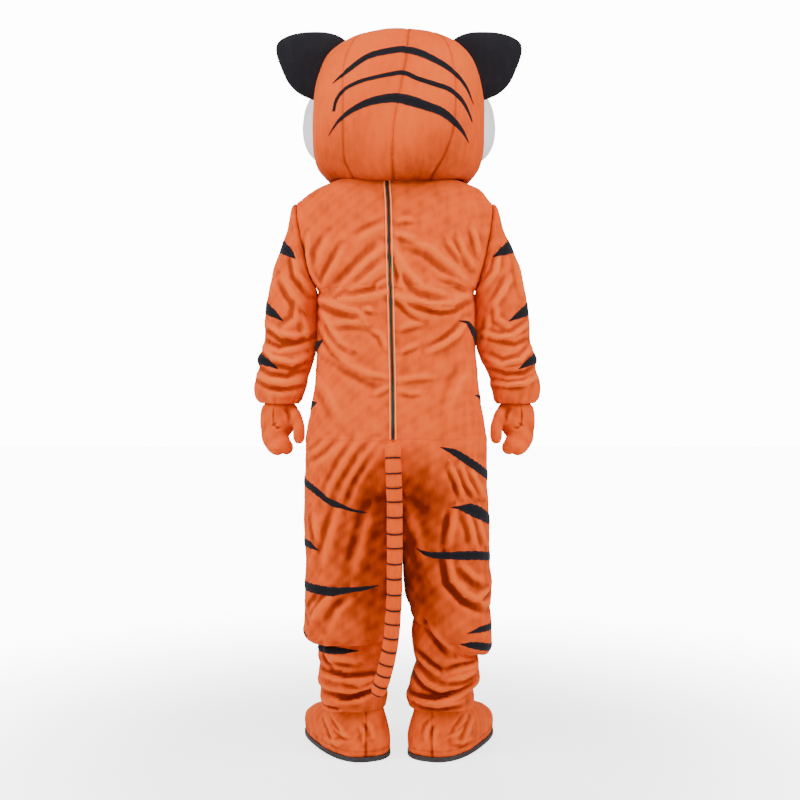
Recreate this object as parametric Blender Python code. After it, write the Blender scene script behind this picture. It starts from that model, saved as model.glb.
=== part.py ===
"""Tiger mascot costume: the worn suit, filled out with no wearer in it.

Metres, +Z up. The costume's back faces +Y and its front faces -Y; +X is the wearer's left. Heights in
the tables are above the floor, and the model's origin is at the wearer's shoulders, HOLD_HEIGHT up.
"""
from math import copysign, cos, pi, radians, sin
from types import SimpleNamespace

import bmesh
import bpy
import numpy as np
from mathutils import Matrix, Vector

# ---------------------------------------------------------------- driving sizes
HOLD_HEIGHT = 1.48          # shoulders above the floor: the costume hangs from them
SEAM_GAP = 0.0003           # between two pieces sewn together
CLOTH = 0.0025              # plush with its short nap
HEAD_WALL = 0.008           # plush on foam
PATCH = 0.0012              # a black stripe sewn on
SIDE_ROUND = 2.4            # how square a cross-section is: 2 is an ellipse
ZIP_HALF_OPEN = 0.0065      # from the zip's middle to each turned edge

ORANGE = ((0.90, 0.28, 0.07), 0.85, 0.0)
BLACK = ((0.015, 0.014, 0.017), 0.9, 0.0)
WHITE = ((0.88, 0.84, 0.82), 0.9, 0.0)
SOLE_BLACK = ((0.03, 0.03, 0.03), 0.6, 0.0)
ZIP_GREEN = ((0.03, 0.06, 0.045), 0.7, 0.0)
GLOSS_BLACK = ((0.01, 0.01, 0.012), 0.25, 0.0)
STEEL = ((0.55, 0.56, 0.57), 0.35, 1.0)

# ---------------------------------------------------------------- body: one row for each section
HIP = 0.822
ARMPIT = 1.203
SHOULDER = 1.430
BODY_COLUMNS = ("height", "left", "right", "zip_x", "back", "front")
BODY_ROWS = (
    (HIP, 0.2430, -0.2280, 0.0150, 0.150, -0.150),
    (0.860, 0.2360, -0.2220, 0.0152, 0.146, -0.151),
    (0.900, 0.2280, -0.2150, 0.0155, 0.140, -0.152),
    (0.945, 0.2210, -0.2085, 0.0160, 0.133, -0.152),
    (0.985, 0.2170, -0.2050, 0.0165, 0.128, -0.150),
    (1.025, 0.2150, -0.2015, 0.0175, 0.124, -0.149),
    (1.065, 0.2140, -0.1990, 0.0185, 0.122, -0.148),
    (1.110, 0.2140, -0.1990, 0.0195, 0.125, -0.149),
    (1.160, 0.2125, -0.1980, 0.0205, 0.131, -0.150),
)
CHEST_BACK, CHEST_FRONT = 0.135, -0.150         # at the armpit
YOKE_BACK, YOKE_FRONT = 0.119, -0.126           # at the shoulder point
NECK_ROWS = (
    (1.446, 0.2420, -0.2270, 0.0290, 0.115, -0.121),
    (1.461, 0.2180, -0.2130, 0.0300, 0.111, -0.116),
    (1.475, 0.1880, -0.1840, 0.0300, 0.106, -0.111),
    (1.487, 0.1560, -0.1520, 0.0300, 0.101, -0.105),
    (1.500, 0.1250, -0.1170, 0.0300, 0.094, -0.098),
    (1.530, 0.1050, -0.0970, 0.0300, 0.086, -0.090),
)
ARM_STEPS = 6               # rows of the body from armpit to shoulder point
ARM_DEPTH = 0.078           # half the armhole, front to back
ARM_MIDDLE = -0.005
ARM_BOW = 0.010             # the armhole seam bows away from the middle
ARMHOLE_GAP = 0.0012        # the seam turns a corner there
SLEEVE_LIFT = 0.006         # the sleeve leaves its seam this far out and along
ARMHOLE_TURN = 62.0         # degrees that a cross-section has turned where it meets the armhole

# ---------------------------------------------------------------- sleeves, from armhole to cuff
SLEEVE_COLUMNS = ("outer_height", "inner_height", "left_outer", "left_inner", "right_outer",
                  "right_inner", "depth")
SLEEVE_ROWS = (
    (1.360, 1.1930, 0.2905, 0.2165, -0.2730, -0.2016, 0.0800),
    (1.315, 1.1720, 0.3060, 0.2168, -0.2935, -0.2018, 0.0780),
    (1.265, 1.1450, 0.3220, 0.2172, -0.3120, -0.2020, 0.0760),
    (1.215, 1.1180, 0.3360, 0.2177, -0.3250, -0.2028, 0.0750),
    (1.130, 1.0700, 0.3490, 0.2190, -0.3385, -0.2050, 0.0740),
    (1.060, 1.0220, 0.3530, 0.2260, -0.3445, -0.2190, 0.0735),
    (1.026, 1.0000, 0.3670, 0.2290, -0.3575, -0.2250, 0.0760),
    (1.002, 0.9800, 0.3650, 0.2360, -0.3560, -0.2345, 0.0720),
    (0.972, 0.9580, 0.3745, 0.2390, -0.3660, -0.2385, 0.0730),
    (0.943, 0.9340, 0.3765, 0.2480, -0.3690, -0.2435, 0.0690),
    (0.920, 0.9160, 0.3690, 0.2560, -0.3610, -0.2495, 0.0600),
    (0.912, 0.9100, 0.3570, 0.2640, -0.3490, -0.2580, 0.0520),
    (0.917, 0.9160, 0.3515, 0.2685, -0.3435, -0.2625, 0.0475),
)

# ---------------------------------------------------------------- legs: "split" is 0 where both legs
# still share one hollow and 1 below the crotch; "lean" lifts a section's outer side
LEG_COLUMNS = ("height", "lean", "outer", "inner", "back", "front", "split")
LEFT_LEG_ROWS = (
    (HIP, 0.0, 0.2430, 0.0152, 0.150, -0.150, 0.00),
    (0.770, 0.0, 0.2425, 0.0132, 0.158, -0.152, 0.00),
    (0.712, 0.0, 0.2444, 0.0102, 0.155, -0.148, 0.06),
    (0.665, 0.0, 0.2455, 0.0062, 0.149, -0.144, 0.30),
    (0.628, 0.0, 0.2465, 0.0042, 0.143, -0.141, 0.72),
    (0.600, 0.0, 0.2468, 0.0006, 0.139, -0.139, 1.00),
    (0.550, 0.0, 0.2440, -0.0030, 0.134, -0.137, 1.00),
    (0.500, 0.0, 0.2418, -0.0068, 0.130, -0.136, 1.00),
    (0.450, 0.0, 0.2436, -0.0078, 0.127, -0.138, 1.00),
    (0.400, 0.0, 0.2444, -0.0052, 0.126, -0.140, 1.00),
    (0.360, 0.0, 0.2455, -0.0026, 0.128, -0.142, 1.00),
    (0.334, -0.004, 0.2470, 0.0000, 0.131, -0.143, 1.00),
    (0.317, -0.004, 0.2445, 0.0045, 0.129, -0.140, 1.00),
    (0.306, -0.004, 0.2330, 0.0110, 0.119, -0.130, 1.00),
    (0.307, -0.004, 0.2180, 0.0150, 0.106, -0.117, 1.00),
    (0.300, 0.000, 0.2060, 0.0110, 0.096, -0.108, 1.00),
    (0.282, 0.000, 0.2090, 0.0085, 0.102, -0.114, 1.00),
    (0.260, 0.000, 0.2105, 0.0110, 0.104, -0.115, 1.00),
    (0.241, 0.000, 0.2060, 0.0175, 0.095, -0.107, 1.00),
    (0.218, 0.000, 0.2090, 0.0210, 0.101, -0.113, 1.00),
    (0.196, 0.000, 0.2110, 0.0255, 0.101, -0.113, 1.00),
    (0.178, 0.000, 0.2040, 0.0300, 0.092, -0.106, 1.00),
    (0.156, 0.000, 0.2055, 0.0290, 0.098, -0.112, 1.00),
    (0.132, 0.000, 0.1990, 0.0340, 0.088, -0.104, 1.00),
)
RIGHT_LEG_ROWS = (
    (HIP, 0.0, -0.2280, 0.0148, 0.150, -0.150, 0.00),
    (0.770, 0.0, -0.2285, 0.0128, 0.158, -0.152, 0.00),
    (0.712, 0.0, -0.2290, 0.0098, 0.155, -0.148, 0.06),
    (0.665, 0.0, -0.2315, 0.0058, 0.149, -0.144, 0.30),
    (0.628, 0.0, -0.2335, 0.0034, 0.143, -0.141, 0.72),
    (0.600, 0.0, -0.2340, -0.0006, 0.139, -0.139, 1.00),
    (0.550, 0.0, -0.2340, -0.0050, 0.134, -0.137, 1.00),
    (0.500, 0.0, -0.2350, -0.0092, 0.130, -0.136, 1.00),
    (0.450, -0.004, -0.2415, -0.0122, 0.127, -0.138, 1.00),
    (0.405, -0.014, -0.2370, -0.0160, 0.127, -0.139, 1.00),
    (0.375, -0.028, -0.2390, -0.0220, 0.129, -0.142, 1.00),
    (0.347, -0.040, -0.2400, -0.0285, 0.131, -0.143, 1.00),
    (0.328, -0.046, -0.2380, -0.0300, 0.129, -0.140, 1.00),
    (0.314, -0.048, -0.2270, -0.0350, 0.119, -0.130, 1.00),
    (0.313, -0.048, -0.2130, -0.0390, 0.106, -0.117, 1.00),
    (0.300, -0.038, -0.2010, -0.0340, 0.096, -0.108, 1.00),
    (0.280, -0.022, -0.2040, -0.0330, 0.102, -0.114, 1.00),
    (0.258, -0.008, -0.2060, -0.0385, 0.104, -0.115, 1.00),
    (0.239, 0.000, -0.2065, -0.0440, 0.095, -0.107, 1.00),
    (0.217, 0.000, -0.2090, -0.0350, 0.101, -0.113, 1.00),
    (0.194, 0.000, -0.2085, -0.0285, 0.101, -0.113, 1.00),
    (0.175, 0.000, -0.1935, -0.0240, 0.092, -0.106, 1.00),
    (0.155, 0.000, -0.1960, -0.0185, 0.098, -0.112, 1.00),
    (0.132, 0.000, -0.1930, -0.0250, 0.088, -0.104, 1.00),
)
CROTCH_CORNER = 4.6         # squareness of a leg's inner side at the crotch, easing to SIDE_ROUND

# ---------------------------------------------------------------- head, from its rim up to the crown
HEAD_ROUND = 2.2
HEAD_COLUMNS = ("back_height", "side_height", "front_height", "left", "right", "back", "front",
                "seam", "gore_left", "gore_right")
HEAD_ROWS = (
    (1.467, 1.492, 1.452, 0.1720, -0.1720, 0.137, -0.166, 3.5, 38.0, -24.0),
    (1.480, 1.501, 1.468, 0.1900, -0.1900, 0.153, -0.186, 3.4, 37.5, -24.5),
    (1.506, 1.523, 1.500, 0.2120, -0.2090, 0.166, -0.205, 3.2, 37.0, -28.0),
    (1.545, 1.560, 1.545, 0.2225, -0.2190, 0.176, -0.220, 2.8, 36.5, -32.0),
    (1.600, 1.610, 1.600, 0.2255, -0.2235, 0.181, -0.229, 2.0, 36.0, -36.0),
    (1.660, 1.665, 1.660, 0.2255, -0.2235, 0.181, -0.231, 0.0, 36.0, -37.0),
    (1.715, 1.715, 1.715, 0.2220, -0.2200, 0.175, -0.226, -2.0, 37.0, -38.0),
    (1.765, 1.765, 1.765, 0.2110, -0.2095, 0.163, -0.215, -4.0, 38.0, -38.0),
    (1.805, 1.805, 1.805, 0.1940, -0.1940, 0.144, -0.197, -5.0, 38.0, -38.0),
    (1.835, 1.832, 1.835, 0.1700, -0.1720, 0.118, -0.170, -6.0, 38.0, -38.0),
    (1.858, 1.853, 1.856, 0.1380, -0.1420, 0.084, -0.138, -8.0, 38.0, -38.0),
    (1.872, 1.868, 1.870, 0.0940, -0.0980, 0.046, -0.104, -8.0, 38.0, -40.0),
    (1.880, 1.878, 1.879, 0.0440, -0.0470, 0.002, -0.064, -8.0, 38.0, -40.0),
    (1.882, 1.882, 1.882, 0.0015, -0.0015, -0.0285, -0.0315, -8.0, 38.0, -40.0),
)
HEAD_MIDDLE = -0.030

# ---------------------------------------------------------------- shoes
SHOE_HEEL = (0.068, 0.064)  # x and y of the left heel
TOE_OUT = 24.0              # degrees
SOLE_THICKNESS = 0.013
SHOE_WALL = 0.003
SHOE_SQUARE = 2.6
SHOE_COLUMNS = ("height", "heel", "toe", "half_width")
SHOE_ROWS = (
    (SOLE_THICKNESS + SEAM_GAP, 0.000, 0.360, 0.0850),
    (0.032, -0.004, 0.364, 0.0880),
    (0.056, -0.002, 0.358, 0.0870),
    (0.080, 0.003, 0.318, 0.0790),
    (0.100, 0.008, 0.250, 0.0690),
    (0.120, 0.012, 0.185, 0.0590),
    (0.140, 0.016, 0.148, 0.0510),
)

# ---------------------------------------------------------------- gloves: the left one, x, y, height
GLOVE_WALL = 0.0025
RIGHT_GLOVE_SHIFT = 0.0075  # the right hand hangs this much nearer the middle
PALM_RINGS = (              # centre x, centre y, height, half width, half depth
    (0.3105, -0.004, 0.946, 0.0330, 0.0300),
    (0.3100, -0.004, 0.912, 0.0335, 0.0310),
    (0.3080, -0.003, 0.896, 0.0440, 0.0340),
    (0.3060, 0.000, 0.868, 0.0540, 0.0360),
    (0.3070, 0.002, 0.838, 0.0510, 0.0340),
    (0.3080, 0.004, 0.818, 0.0400, 0.0260),
)
FINGERS = (                 # radius, then the points of its bent middle line
    (0.0215, ((0.335, 0.000, 0.850), (0.336, 0.014, 0.814), (0.326, 0.044, 0.806), (0.318, 0.060, 0.826))),
    (0.0215, ((0.308, 0.000, 0.850), (0.307, 0.012, 0.809), (0.300, 0.043, 0.801), (0.296, 0.060, 0.820))),
    (0.0200, ((0.283, 0.000, 0.850), (0.279, 0.012, 0.818), (0.275, 0.042, 0.808), (0.273, 0.057, 0.826))),
    (0.0185, ((0.2775, 0.012, 0.886), (0.264, 0.042, 0.872), (0.2605, 0.066, 0.850), (0.266, 0.073, 0.822))),
)

# ---------------------------------------------------------------- tail and zip
TAIL_RADIUS = 0.021
TAIL_POINTS = (
    (0.0145, 0.1750, 0.812), (0.0150, 0.1830, 0.785), (0.0130, 0.1830, 0.740), (0.0110, 0.1800, 0.680),
    (0.0105, 0.1760, 0.600), (0.0105, 0.1720, 0.520), (0.0110, 0.1680, 0.440), (0.0130, 0.1640, 0.370),
    (0.0190, 0.1600, 0.300), (0.0300, 0.1540, 0.230), (0.0430, 0.1480, 0.180), (0.0530, 0.1440, 0.153),
)
ZIP_TOP = 1.512
ZIP_TAPE, ZIP_CHAIN = 0.011, 0.003              # half widths
ZIP_TAPE_THICKNESS, ZIP_TAPE_FALL = 0.0012, 0.0022


# ---------------------------------------------------------------- small tools
def table(columns, rows):
    """The rows of a table as objects with named fields."""
    return [SimpleNamespace(**dict(zip(columns, row))) for row in rows]


def mix(start, end, share):
    """The value a share of the way from start to end."""
    return start + (end - start) * share


def power(value, exponent):
    """A sign-keeping power, for rounded-square outlines."""
    return copysign(abs(value) ** exponent, value)


def finish_of(name, finish):
    """A new material for one piece."""
    (red, green, blue), roughness, metallic = finish
    material = bpy.data.materials.new(name + "_finish")
    material.use_nodes = True
    shader = material.node_tree.nodes["Principled BSDF"]
    shader.inputs["Base Color"].default_value = (red, green, blue, 1.0)
    shader.inputs["Roughness"].default_value = roughness
    shader.inputs["Metallic"].default_value = metallic
    return material


def collection(name):
    """A new collection in the scene."""
    made = bpy.data.collections.new(name)
    bpy.context.scene.collection.children.link(made)
    return made


def piece(name, mesh_tools, finish, home, smooth=True):
    """An object from a bmesh, lowered from floor heights to the model's origin."""
    bmesh.ops.translate(mesh_tools, verts=mesh_tools.verts, vec=(0, 0, -HOLD_HEIGHT))
    bmesh.ops.recalc_face_normals(mesh_tools, faces=mesh_tools.faces)
    mesh = bpy.data.meshes.new(name)
    mesh_tools.to_mesh(mesh)
    mesh_tools.free()
    if smooth:
        mesh.shade_smooth()
        mesh.set_sharp_from_angle(angle=radians(40))
    made = bpy.data.objects.new(name, mesh)
    if finish:
        mesh.materials.append(finish_of(name, finish))
    home.objects.link(made)
    return made


def cutter(name, mesh_tools, home):
    """An object that only cuts others."""
    made = piece(name, mesh_tools, None, home, smooth=False)
    made.hide_render = True
    made.display_type = "WIRE"
    return made


def cut(target, tool, operation="DIFFERENCE"):
    """A Boolean modifier with the EXACT solver."""
    change = target.modifiers.new(operation.lower() + "_" + tool.name, "BOOLEAN")
    change.operation = operation
    change.solver = "EXACT"
    change.object = tool


def grid_normals(grid, closed):
    """Unit normals of a grid of points whose columns run around a form and whose rows run up or down."""
    along = np.gradient(grid, axis=0)
    if closed:
        around = np.roll(grid, -1, axis=1) - np.roll(grid, 1, axis=1)
    else:
        around = np.gradient(grid, axis=1)
    normals = np.cross(around, along)
    centre = grid.mean(axis=1, keepdims=True)
    if np.sum((grid - centre)[..., :2] * normals[..., :2]) < 0:
        normals = -normals
    return normals / np.linalg.norm(normals, axis=2, keepdims=True)


def flatten_row(normals, row):
    """Lay one row's normals level, so that the wall ends in a level edge."""
    normals[row, :, 2] = 0.0
    normals[row] /= np.linalg.norm(normals[row], axis=1, keepdims=True)


def grid_faces(mesh_tools, rows, closed, flip):
    """Triangles between neighbouring rows of vertices, all split the same way."""
    count = len(rows[0])
    for lower, upper in zip(rows, rows[1:]):
        for first in range(count if closed else count - 1):
            second = (first + 1) % count
            for corners in ((lower[first], lower[second], upper[second]),
                            (lower[first], upper[second], upper[first])):
                mesh_tools.faces.new(corners[::-1] if flip else corners)


def wall(outer, inner, closed=False):
    """A closed wall between two grids of points, open at its ends when it runs around a form."""
    made = bmesh.new()
    skins = [[[made.verts.new(point) for point in row] for row in grid] for grid in (outer, inner)]
    grid_faces(made, skins[0], closed, False)
    grid_faces(made, skins[1], closed, True)
    for row in (0, -1):
        grid_faces(made, [skins[0][row], skins[1][row]], closed, row == 0)
    if not closed:
        for column in (0, -1):
            edges = [[row[column] for row in skin] for skin in skins]
            grid_faces(made, edges, False, column == -1)
    return made


def solid_loft(rings):
    """A closed solid through rings of points, its two ends filled."""
    made = bmesh.new()
    rows = [[made.verts.new(point) for point in ring] for ring in rings]
    grid_faces(made, rows, True, False)
    made.faces.new(rows[0][::-1])
    made.faces.new(rows[-1])
    return made


def pulled_back(grid, first, last):
    """A grid whose first and last columns are drawn in along the cloth by the given distances."""
    moved = grid.copy()
    for edge, inside, distance in ((0, 1, first), (-1, -2, last)):
        step = grid[:, inside] - grid[:, edge]
        length = np.linalg.norm(step, axis=1, keepdims=True)
        moved[:, edge] = grid[:, edge] + step / length * distance
    return moved


def panel(name, grid, normals, thickness, finish, home, first=SEAM_GAP / 2, last=SEAM_GAP / 2):
    """A cloth panel: a wall under a grid of points, its two side edges drawn back to their seams."""
    outer = pulled_back(grid, first, last)
    inner = outer - normals * thickness
    return piece(name, wall(outer, inner), finish, home)


# ---------------------------------------------------------------- the body's surface
def armhole_point(side, angle):
    """A point of the armhole seam: angle 0 is the shoulder point, 180 the armpit, on the back half."""
    top_x, low_x = (0.2626, 0.2106) if side > 0 else (-0.2390, -0.1960)
    share = (1 + cos(angle)) / 2
    x = mix(low_x, top_x, share) + side * ARM_BOW * sin(angle)
    return Vector((x, ARM_MIDDLE + ARM_DEPTH * sin(angle), mix(ARMPIT, SHOULDER, share)))


def body_sections():
    """Every section of the body with the two points where its back and front quarters end."""
    sections = []
    for row in table(BODY_COLUMNS, BODY_ROWS):
        row.ends = {(side, face): (row.left if side > 0 else row.right, 0.0)
                    for side in (1, -1) for face in (1, -1)}
        row.turn = 90.0
        sections.append(row)
    for step in range(ARM_STEPS + 1):
        angle = pi * (1 - step / ARM_STEPS)
        share = step / ARM_STEPS
        row = SimpleNamespace(height=armhole_point(1, angle).z, zip_x=mix(0.0215, 0.0280, share),
                              back=mix(CHEST_BACK, YOKE_BACK, share),
                              front=mix(CHEST_FRONT, YOKE_FRONT, share), ends={})
        for side in (1, -1):
            spot = armhole_point(side, angle)
            row.ends[side, 1] = (spot.x, spot.y)
            row.ends[side, -1] = (spot.x, 2 * ARM_MIDDLE - spot.y)
        row.turn = mix(90.0, ARMHOLE_TURN, sin(angle) ** 0.5)
        sections.append(row)
    for row in table(BODY_COLUMNS, NECK_ROWS):
        row.ends = {(side, face): (row.left if side > 0 else row.right, 0.0)
                    for side in (1, -1) for face in (1, -1)}
        row.turn = 90.0
        sections.append(row)
    return sections


def body_quarter(row, side, face, steps):
    """The points of one quarter of a section, from the middle of its back or front to its side."""
    end_x, end_y = row.ends[side, face]
    middle_y = row.back if face > 0 else row.front
    turn = radians(row.turn)
    full_x = sin(turn) ** (2 / SIDE_ROUND)
    full_y = 1 - abs(cos(turn)) ** (2 / SIDE_ROUND)
    points = []
    for step in range(steps + 1):
        angle = turn * step / steps
        share_x = sin(angle) ** (2 / SIDE_ROUND) / full_x
        share_y = (1 - abs(cos(angle)) ** (2 / SIDE_ROUND)) / full_y
        points.append((mix(row.zip_x, end_x, share_x), mix(middle_y, end_y, share_y), row.height))
    return points


def body_grid(side, face, steps=4):
    """The surface of one quarter of the body, its rows from hip to neck."""
    grid = np.array([body_quarter(row, side, face, steps) for row in body_sections()])
    grid[0, :, 2] += SEAM_GAP / 2
    return grid


def build_body(home):
    """Back left, back right and the whole front."""
    quarters = {(side, face): body_grid(side, face) for side in (1, -1) for face in (1, -1)}
    ring = np.concatenate([quarters[1, 1], quarters[1, -1][:, ::-1][:, 1:],
                           quarters[-1, -1][:, 1:], quarters[-1, 1][:, ::-1][:, 1:-1]], axis=1)
    normals = grid_normals(ring, True)
    armhole_rows = slice(len(BODY_ROWS), len(BODY_ROWS) + ARM_STEPS + 1)
    shared = quarter_normals(quarters, normals, armhole_rows)
    for side, name in ((1, "back_left"), (-1, "back_right")):
        panel(name, quarters[side, 1], shared[side, 1], CLOTH, ORANGE, home, first=ZIP_HALF_OPEN)
    front = np.concatenate([quarters[1, -1][:, ::-1], quarters[-1, -1][:, 1:]], axis=1)
    front_normals = np.concatenate([shared[1, -1][:, ::-1], shared[-1, -1][:, 1:]], axis=1)
    panel("front", front, front_normals, CLOTH, ORANGE, home)
    return quarters, shared


def quarter_normals(quarters, ring_normals, armhole_rows):
    """Each quarter's own normals, taken from the whole ring except where the armhole is open."""
    steps = quarters[1, 1].shape[1] - 1
    picks = {(1, 1): list(range(0, steps + 1)), (1, -1): list(range(2 * steps, steps - 1, -1)),
             (-1, -1): list(range(2 * steps, 3 * steps + 1)),
             (-1, 1): [0] + list(range(4 * steps - 1, 3 * steps - 1, -1))}
    found = {}
    for key, columns in picks.items():
        normals = ring_normals[:, columns].copy()
        own = grid_normals(quarters[key], False)
        if np.sum(own[..., 0] * normals[..., 0]) + np.sum(own[..., 1] * normals[..., 1]) < 0:
            own = -own
        inside = slice(armhole_rows.start + 1, armhole_rows.stop - 1)
        normals[inside, -1] = own[inside, -1]
        flatten_row(normals, 0)
        found[key] = normals
    return found


# ---------------------------------------------------------------- sleeves
def sleeve_grid(side, quarters, shared):
    """The sleeve's rings from the armhole seam to the turned-in cuff, and its normals."""
    start = len(BODY_ROWS)
    rows = range(start + ARM_STEPS, start - 1, -1)
    loop, loop_normals, away = [], [], []
    for face, order in ((1, list(rows)), (-1, list(rows)[::-1][1:-1])):
        grid, normals = quarters[side, face], shared[side, face]
        for row in order:
            loop.append(grid[row, -1])
            loop_normals.append(normals[row, -1])
            away.append(grid[row, -1] - grid[row, -2])
    loop, loop_normals, away = np.array(loop), np.array(loop_normals), np.array(away)
    edge = quarters[side, 1][:, -1]
    away[0] = edge[start + ARM_STEPS] - edge[start + ARM_STEPS + 1]
    away[ARM_STEPS] = edge[start] - edge[start - 1]
    along = np.roll(loop, -1, axis=0) - np.roll(loop, 1, axis=0)
    square = np.cross(along, loop_normals)
    square *= np.sign(np.sum(square * away, axis=1, keepdims=True))
    away = square / np.linalg.norm(square, axis=1, keepdims=True)
    rings = [loop + away * ARMHOLE_GAP, loop + (away + loop_normals) * SLEEVE_LIFT]
    count = len(loop)
    for row in table(SLEEVE_COLUMNS, SLEEVE_ROWS):
        outer_x = row.left_outer if side > 0 else row.right_outer
        inner_x = row.left_inner if side > 0 else row.right_inner
        ring = []
        for spot in range(count):
            angle = 2 * pi * spot / count
            share = (1 + cos(angle)) / 2
            ring.append((mix(inner_x, outer_x, share), ARM_MIDDLE + row.depth * sin(angle),
                         mix(row.inner_height, row.outer_height, share)))
        rings.append(ring)
    grid = np.array(rings)
    normals = grid_normals(grid, True)
    normals[0] = loop_normals
    return grid, normals


def build_sleeve(side, name, quarters, shared, home):
    """One sleeve as a tube of cloth, open at the armhole and at the cuff."""
    grid, normals = sleeve_grid(side, quarters, shared)
    piece(name, wall(grid, grid - normals * CLOTH, closed=True), ORANGE, home)
    return grid, normals


# ---------------------------------------------------------------- legs
def leg_ring(row, steps):
    """Half a leg's section, from its inseam or middle seam round to its side seam."""
    centre = (row.outer + row.inner) / 2
    reach = (row.outer - row.inner) / 2
    square = mix(SIDE_ROUND, CROTCH_CORNER, min(1.0, max(0.0, (row.height - 0.36) / 0.24)))
    halves = {}
    for face in (1, -1):
        deep = row.back if face > 0 else row.front
        points = []
        for step in range(steps + 1):
            share = step / steps
            turn = pi * (1 - share)
            corner = square if cos(turn) < 0 else SIDE_ROUND
            leg_x = centre + reach * power(cos(turn), 2 / corner)
            leg_y = deep * sin(turn) ** (2 / corner)
            hip_x = mix(row.inner, row.outer, sin(share * pi / 2) ** (2 / SIDE_ROUND))
            hip_y = deep * abs(cos(share * pi / 2)) ** (2 / SIDE_ROUND)
            x, y = mix(hip_x, leg_x, row.split), mix(hip_y, leg_y, row.split)
            points.append((x, y, row.height + row.lean * (x - centre) / reach))
        halves[face] = points
    return halves


def leg_grids(rows, steps=6):
    """The back and front halves of a leg's surface, rows from hip to hem, with shared normals."""
    rings = [leg_ring(row, steps) for row in table(LEG_COLUMNS, rows)]
    back = np.array([ring[1] for ring in rings])
    front = np.array([ring[-1] for ring in rings])
    for half in (back, front):
        half[0, :, 2] -= SEAM_GAP / 2
    ring = np.concatenate([back, front[:, ::-1][:, 1:-1]], axis=1)
    normals = grid_normals(ring, True)
    open_back, open_front = grid_normals(back, False), grid_normals(front, False)
    back_normals = normals[:, :steps + 1].copy()
    front_normals = np.concatenate([normals[:, :1], normals[:, steps:][:, ::-1]], axis=1)
    shared_rows = [index for index, row in enumerate(rows) if row[-1] < 1.0]
    for index in shared_rows:
        for own, kept in ((open_back, back_normals), (open_front, front_normals)):
            facing = copysign(1.0, float(np.dot(own[index, steps // 2], kept[index, steps // 2])))
            kept[index, 0] = own[index, 0] * facing
    for kept in (back_normals, front_normals):
        flatten_row(kept, 0)
    return (back, back_normals), (front, front_normals)


def build_leg(word, rows, home):
    """The back and front panels of one leg."""
    halves = leg_grids(rows)
    (back, back_normals), (front, front_normals) = halves
    panel("leg_back_" + word, back, back_normals, CLOTH, ORANGE, home)
    panel("leg_front_" + word, front[:, ::-1], front_normals[:, ::-1], CLOTH, ORANGE, home)
    return halves


# ---------------------------------------------------------------- head
def head_ring(row, grow=0.0):
    """The head's section as 24 points, starting at the centre-back seam and going left."""
    angles = []
    for span_start, span_end, count in ((row.seam, row.gore_left, 3), (row.gore_left, 90.0, 3),
                                        (90.0, 270.0, 12), (270.0, 360.0 + row.gore_right, 3),
                                        (360.0 + row.gore_right, 360.0 + row.seam, 3)):
        angles += [mix(span_start, span_end, step / count) for step in range(count)]
    centre = (row.left + row.right) / 2
    reach = (row.left - row.right) / 2 + grow
    points = []
    for angle in angles:
        across, deep = sin(radians(angle)), cos(radians(angle))
        depth = row.back - HEAD_MIDDLE + grow if deep > 0 else HEAD_MIDDLE - row.front + grow
        end_height = row.back_height if deep > 0 else row.front_height
        points.append((centre + reach * power(across, 2 / HEAD_ROUND),
                       HEAD_MIDDLE + depth * power(deep, 2 / HEAD_ROUND),
                       mix(row.side_height, end_height, deep * deep)))
    return points


def head_surface():
    """The head's whole surface and its normals."""
    grid = np.array([head_ring(row) for row in table(HEAD_COLUMNS, HEAD_ROWS)])
    normals = grid_normals(grid, True)
    normals[-1] = (0.0, 0.0, 1.0)
    return grid, normals


def build_head(home):
    """Four gores behind and one face panel in front, a foam-backed wall open at the neck."""
    grid, normals = head_surface()
    pieces = (("head_back_left", 0, 3), ("head_side_left", 3, 6), ("head_face", 6, 18),
              ("head_side_right", 18, 21), ("head_back_right", 21, 24))
    for name, first, last in pieces:
        columns = [column % 24 for column in range(first, last + 1)]
        part = grid[:, columns]
        outer = pulled_back(part, SEAM_GAP / 2, SEAM_GAP / 2)
        piece(name, wall(outer, outer - normals[:, columns] * HEAD_WALL), ORANGE, home)
    return grid, normals


# ---------------------------------------------------------------- pads, face and ears on the head
PADS = {                    # centre, then half sizes; each is cut to the head's surface
    "muzzle": ((0.0, -0.232, 1.572), (0.108, 0.072, 0.072)),
    "chin": ((0.0, -0.214, 1.492), (0.062, 0.050, 0.030)),
}
NOSE = ((0.0, -0.302, 1.604), (0.031, 0.016, 0.021))
EYE = ((0.078, -0.212, 1.700), (0.026, 0.020, 0.036))
CHEEK_COLUMNS = ("height", "inner", "outer", "front", "back")
CHEEK_ROWS = (              # level sections of the left cheek's plush pad
    (1.550, 0.150, 0.182, -0.125, -0.075),
    (1.562, 0.140, 0.215, -0.160, -0.052),
    (1.590, 0.140, 0.246, -0.195, -0.036),
    (1.626, 0.140, 0.258, -0.212, -0.028),
    (1.667, 0.140, 0.259, -0.216, -0.026),
    (1.708, 0.140, 0.250, -0.208, -0.032),
    (1.740, 0.140, 0.236, -0.190, -0.048),
    (1.760, 0.150, 0.222, -0.160, -0.075),
)
EAR_OUTLINE = (             # x and height of the left ear's edge, from its top seam round to its low seam
    (0.128, 1.838), (0.148, 1.864), (0.182, 1.8775), (0.222, 1.8800), (0.258, 1.8775), (0.290, 1.869),
    (0.312, 1.856), (0.3205, 1.840), (0.3180, 1.815), (0.306, 1.782), (0.290, 1.748), (0.266, 1.722),
    (0.238, 1.707), (0.205, 1.700),
)
EAR_MIDDLE = (0.205, 1.800)
EAR_BACK_Y, EAR_SEAM_Y, EAR_FRONT_Y = 0.014, -0.008, -0.020


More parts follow.
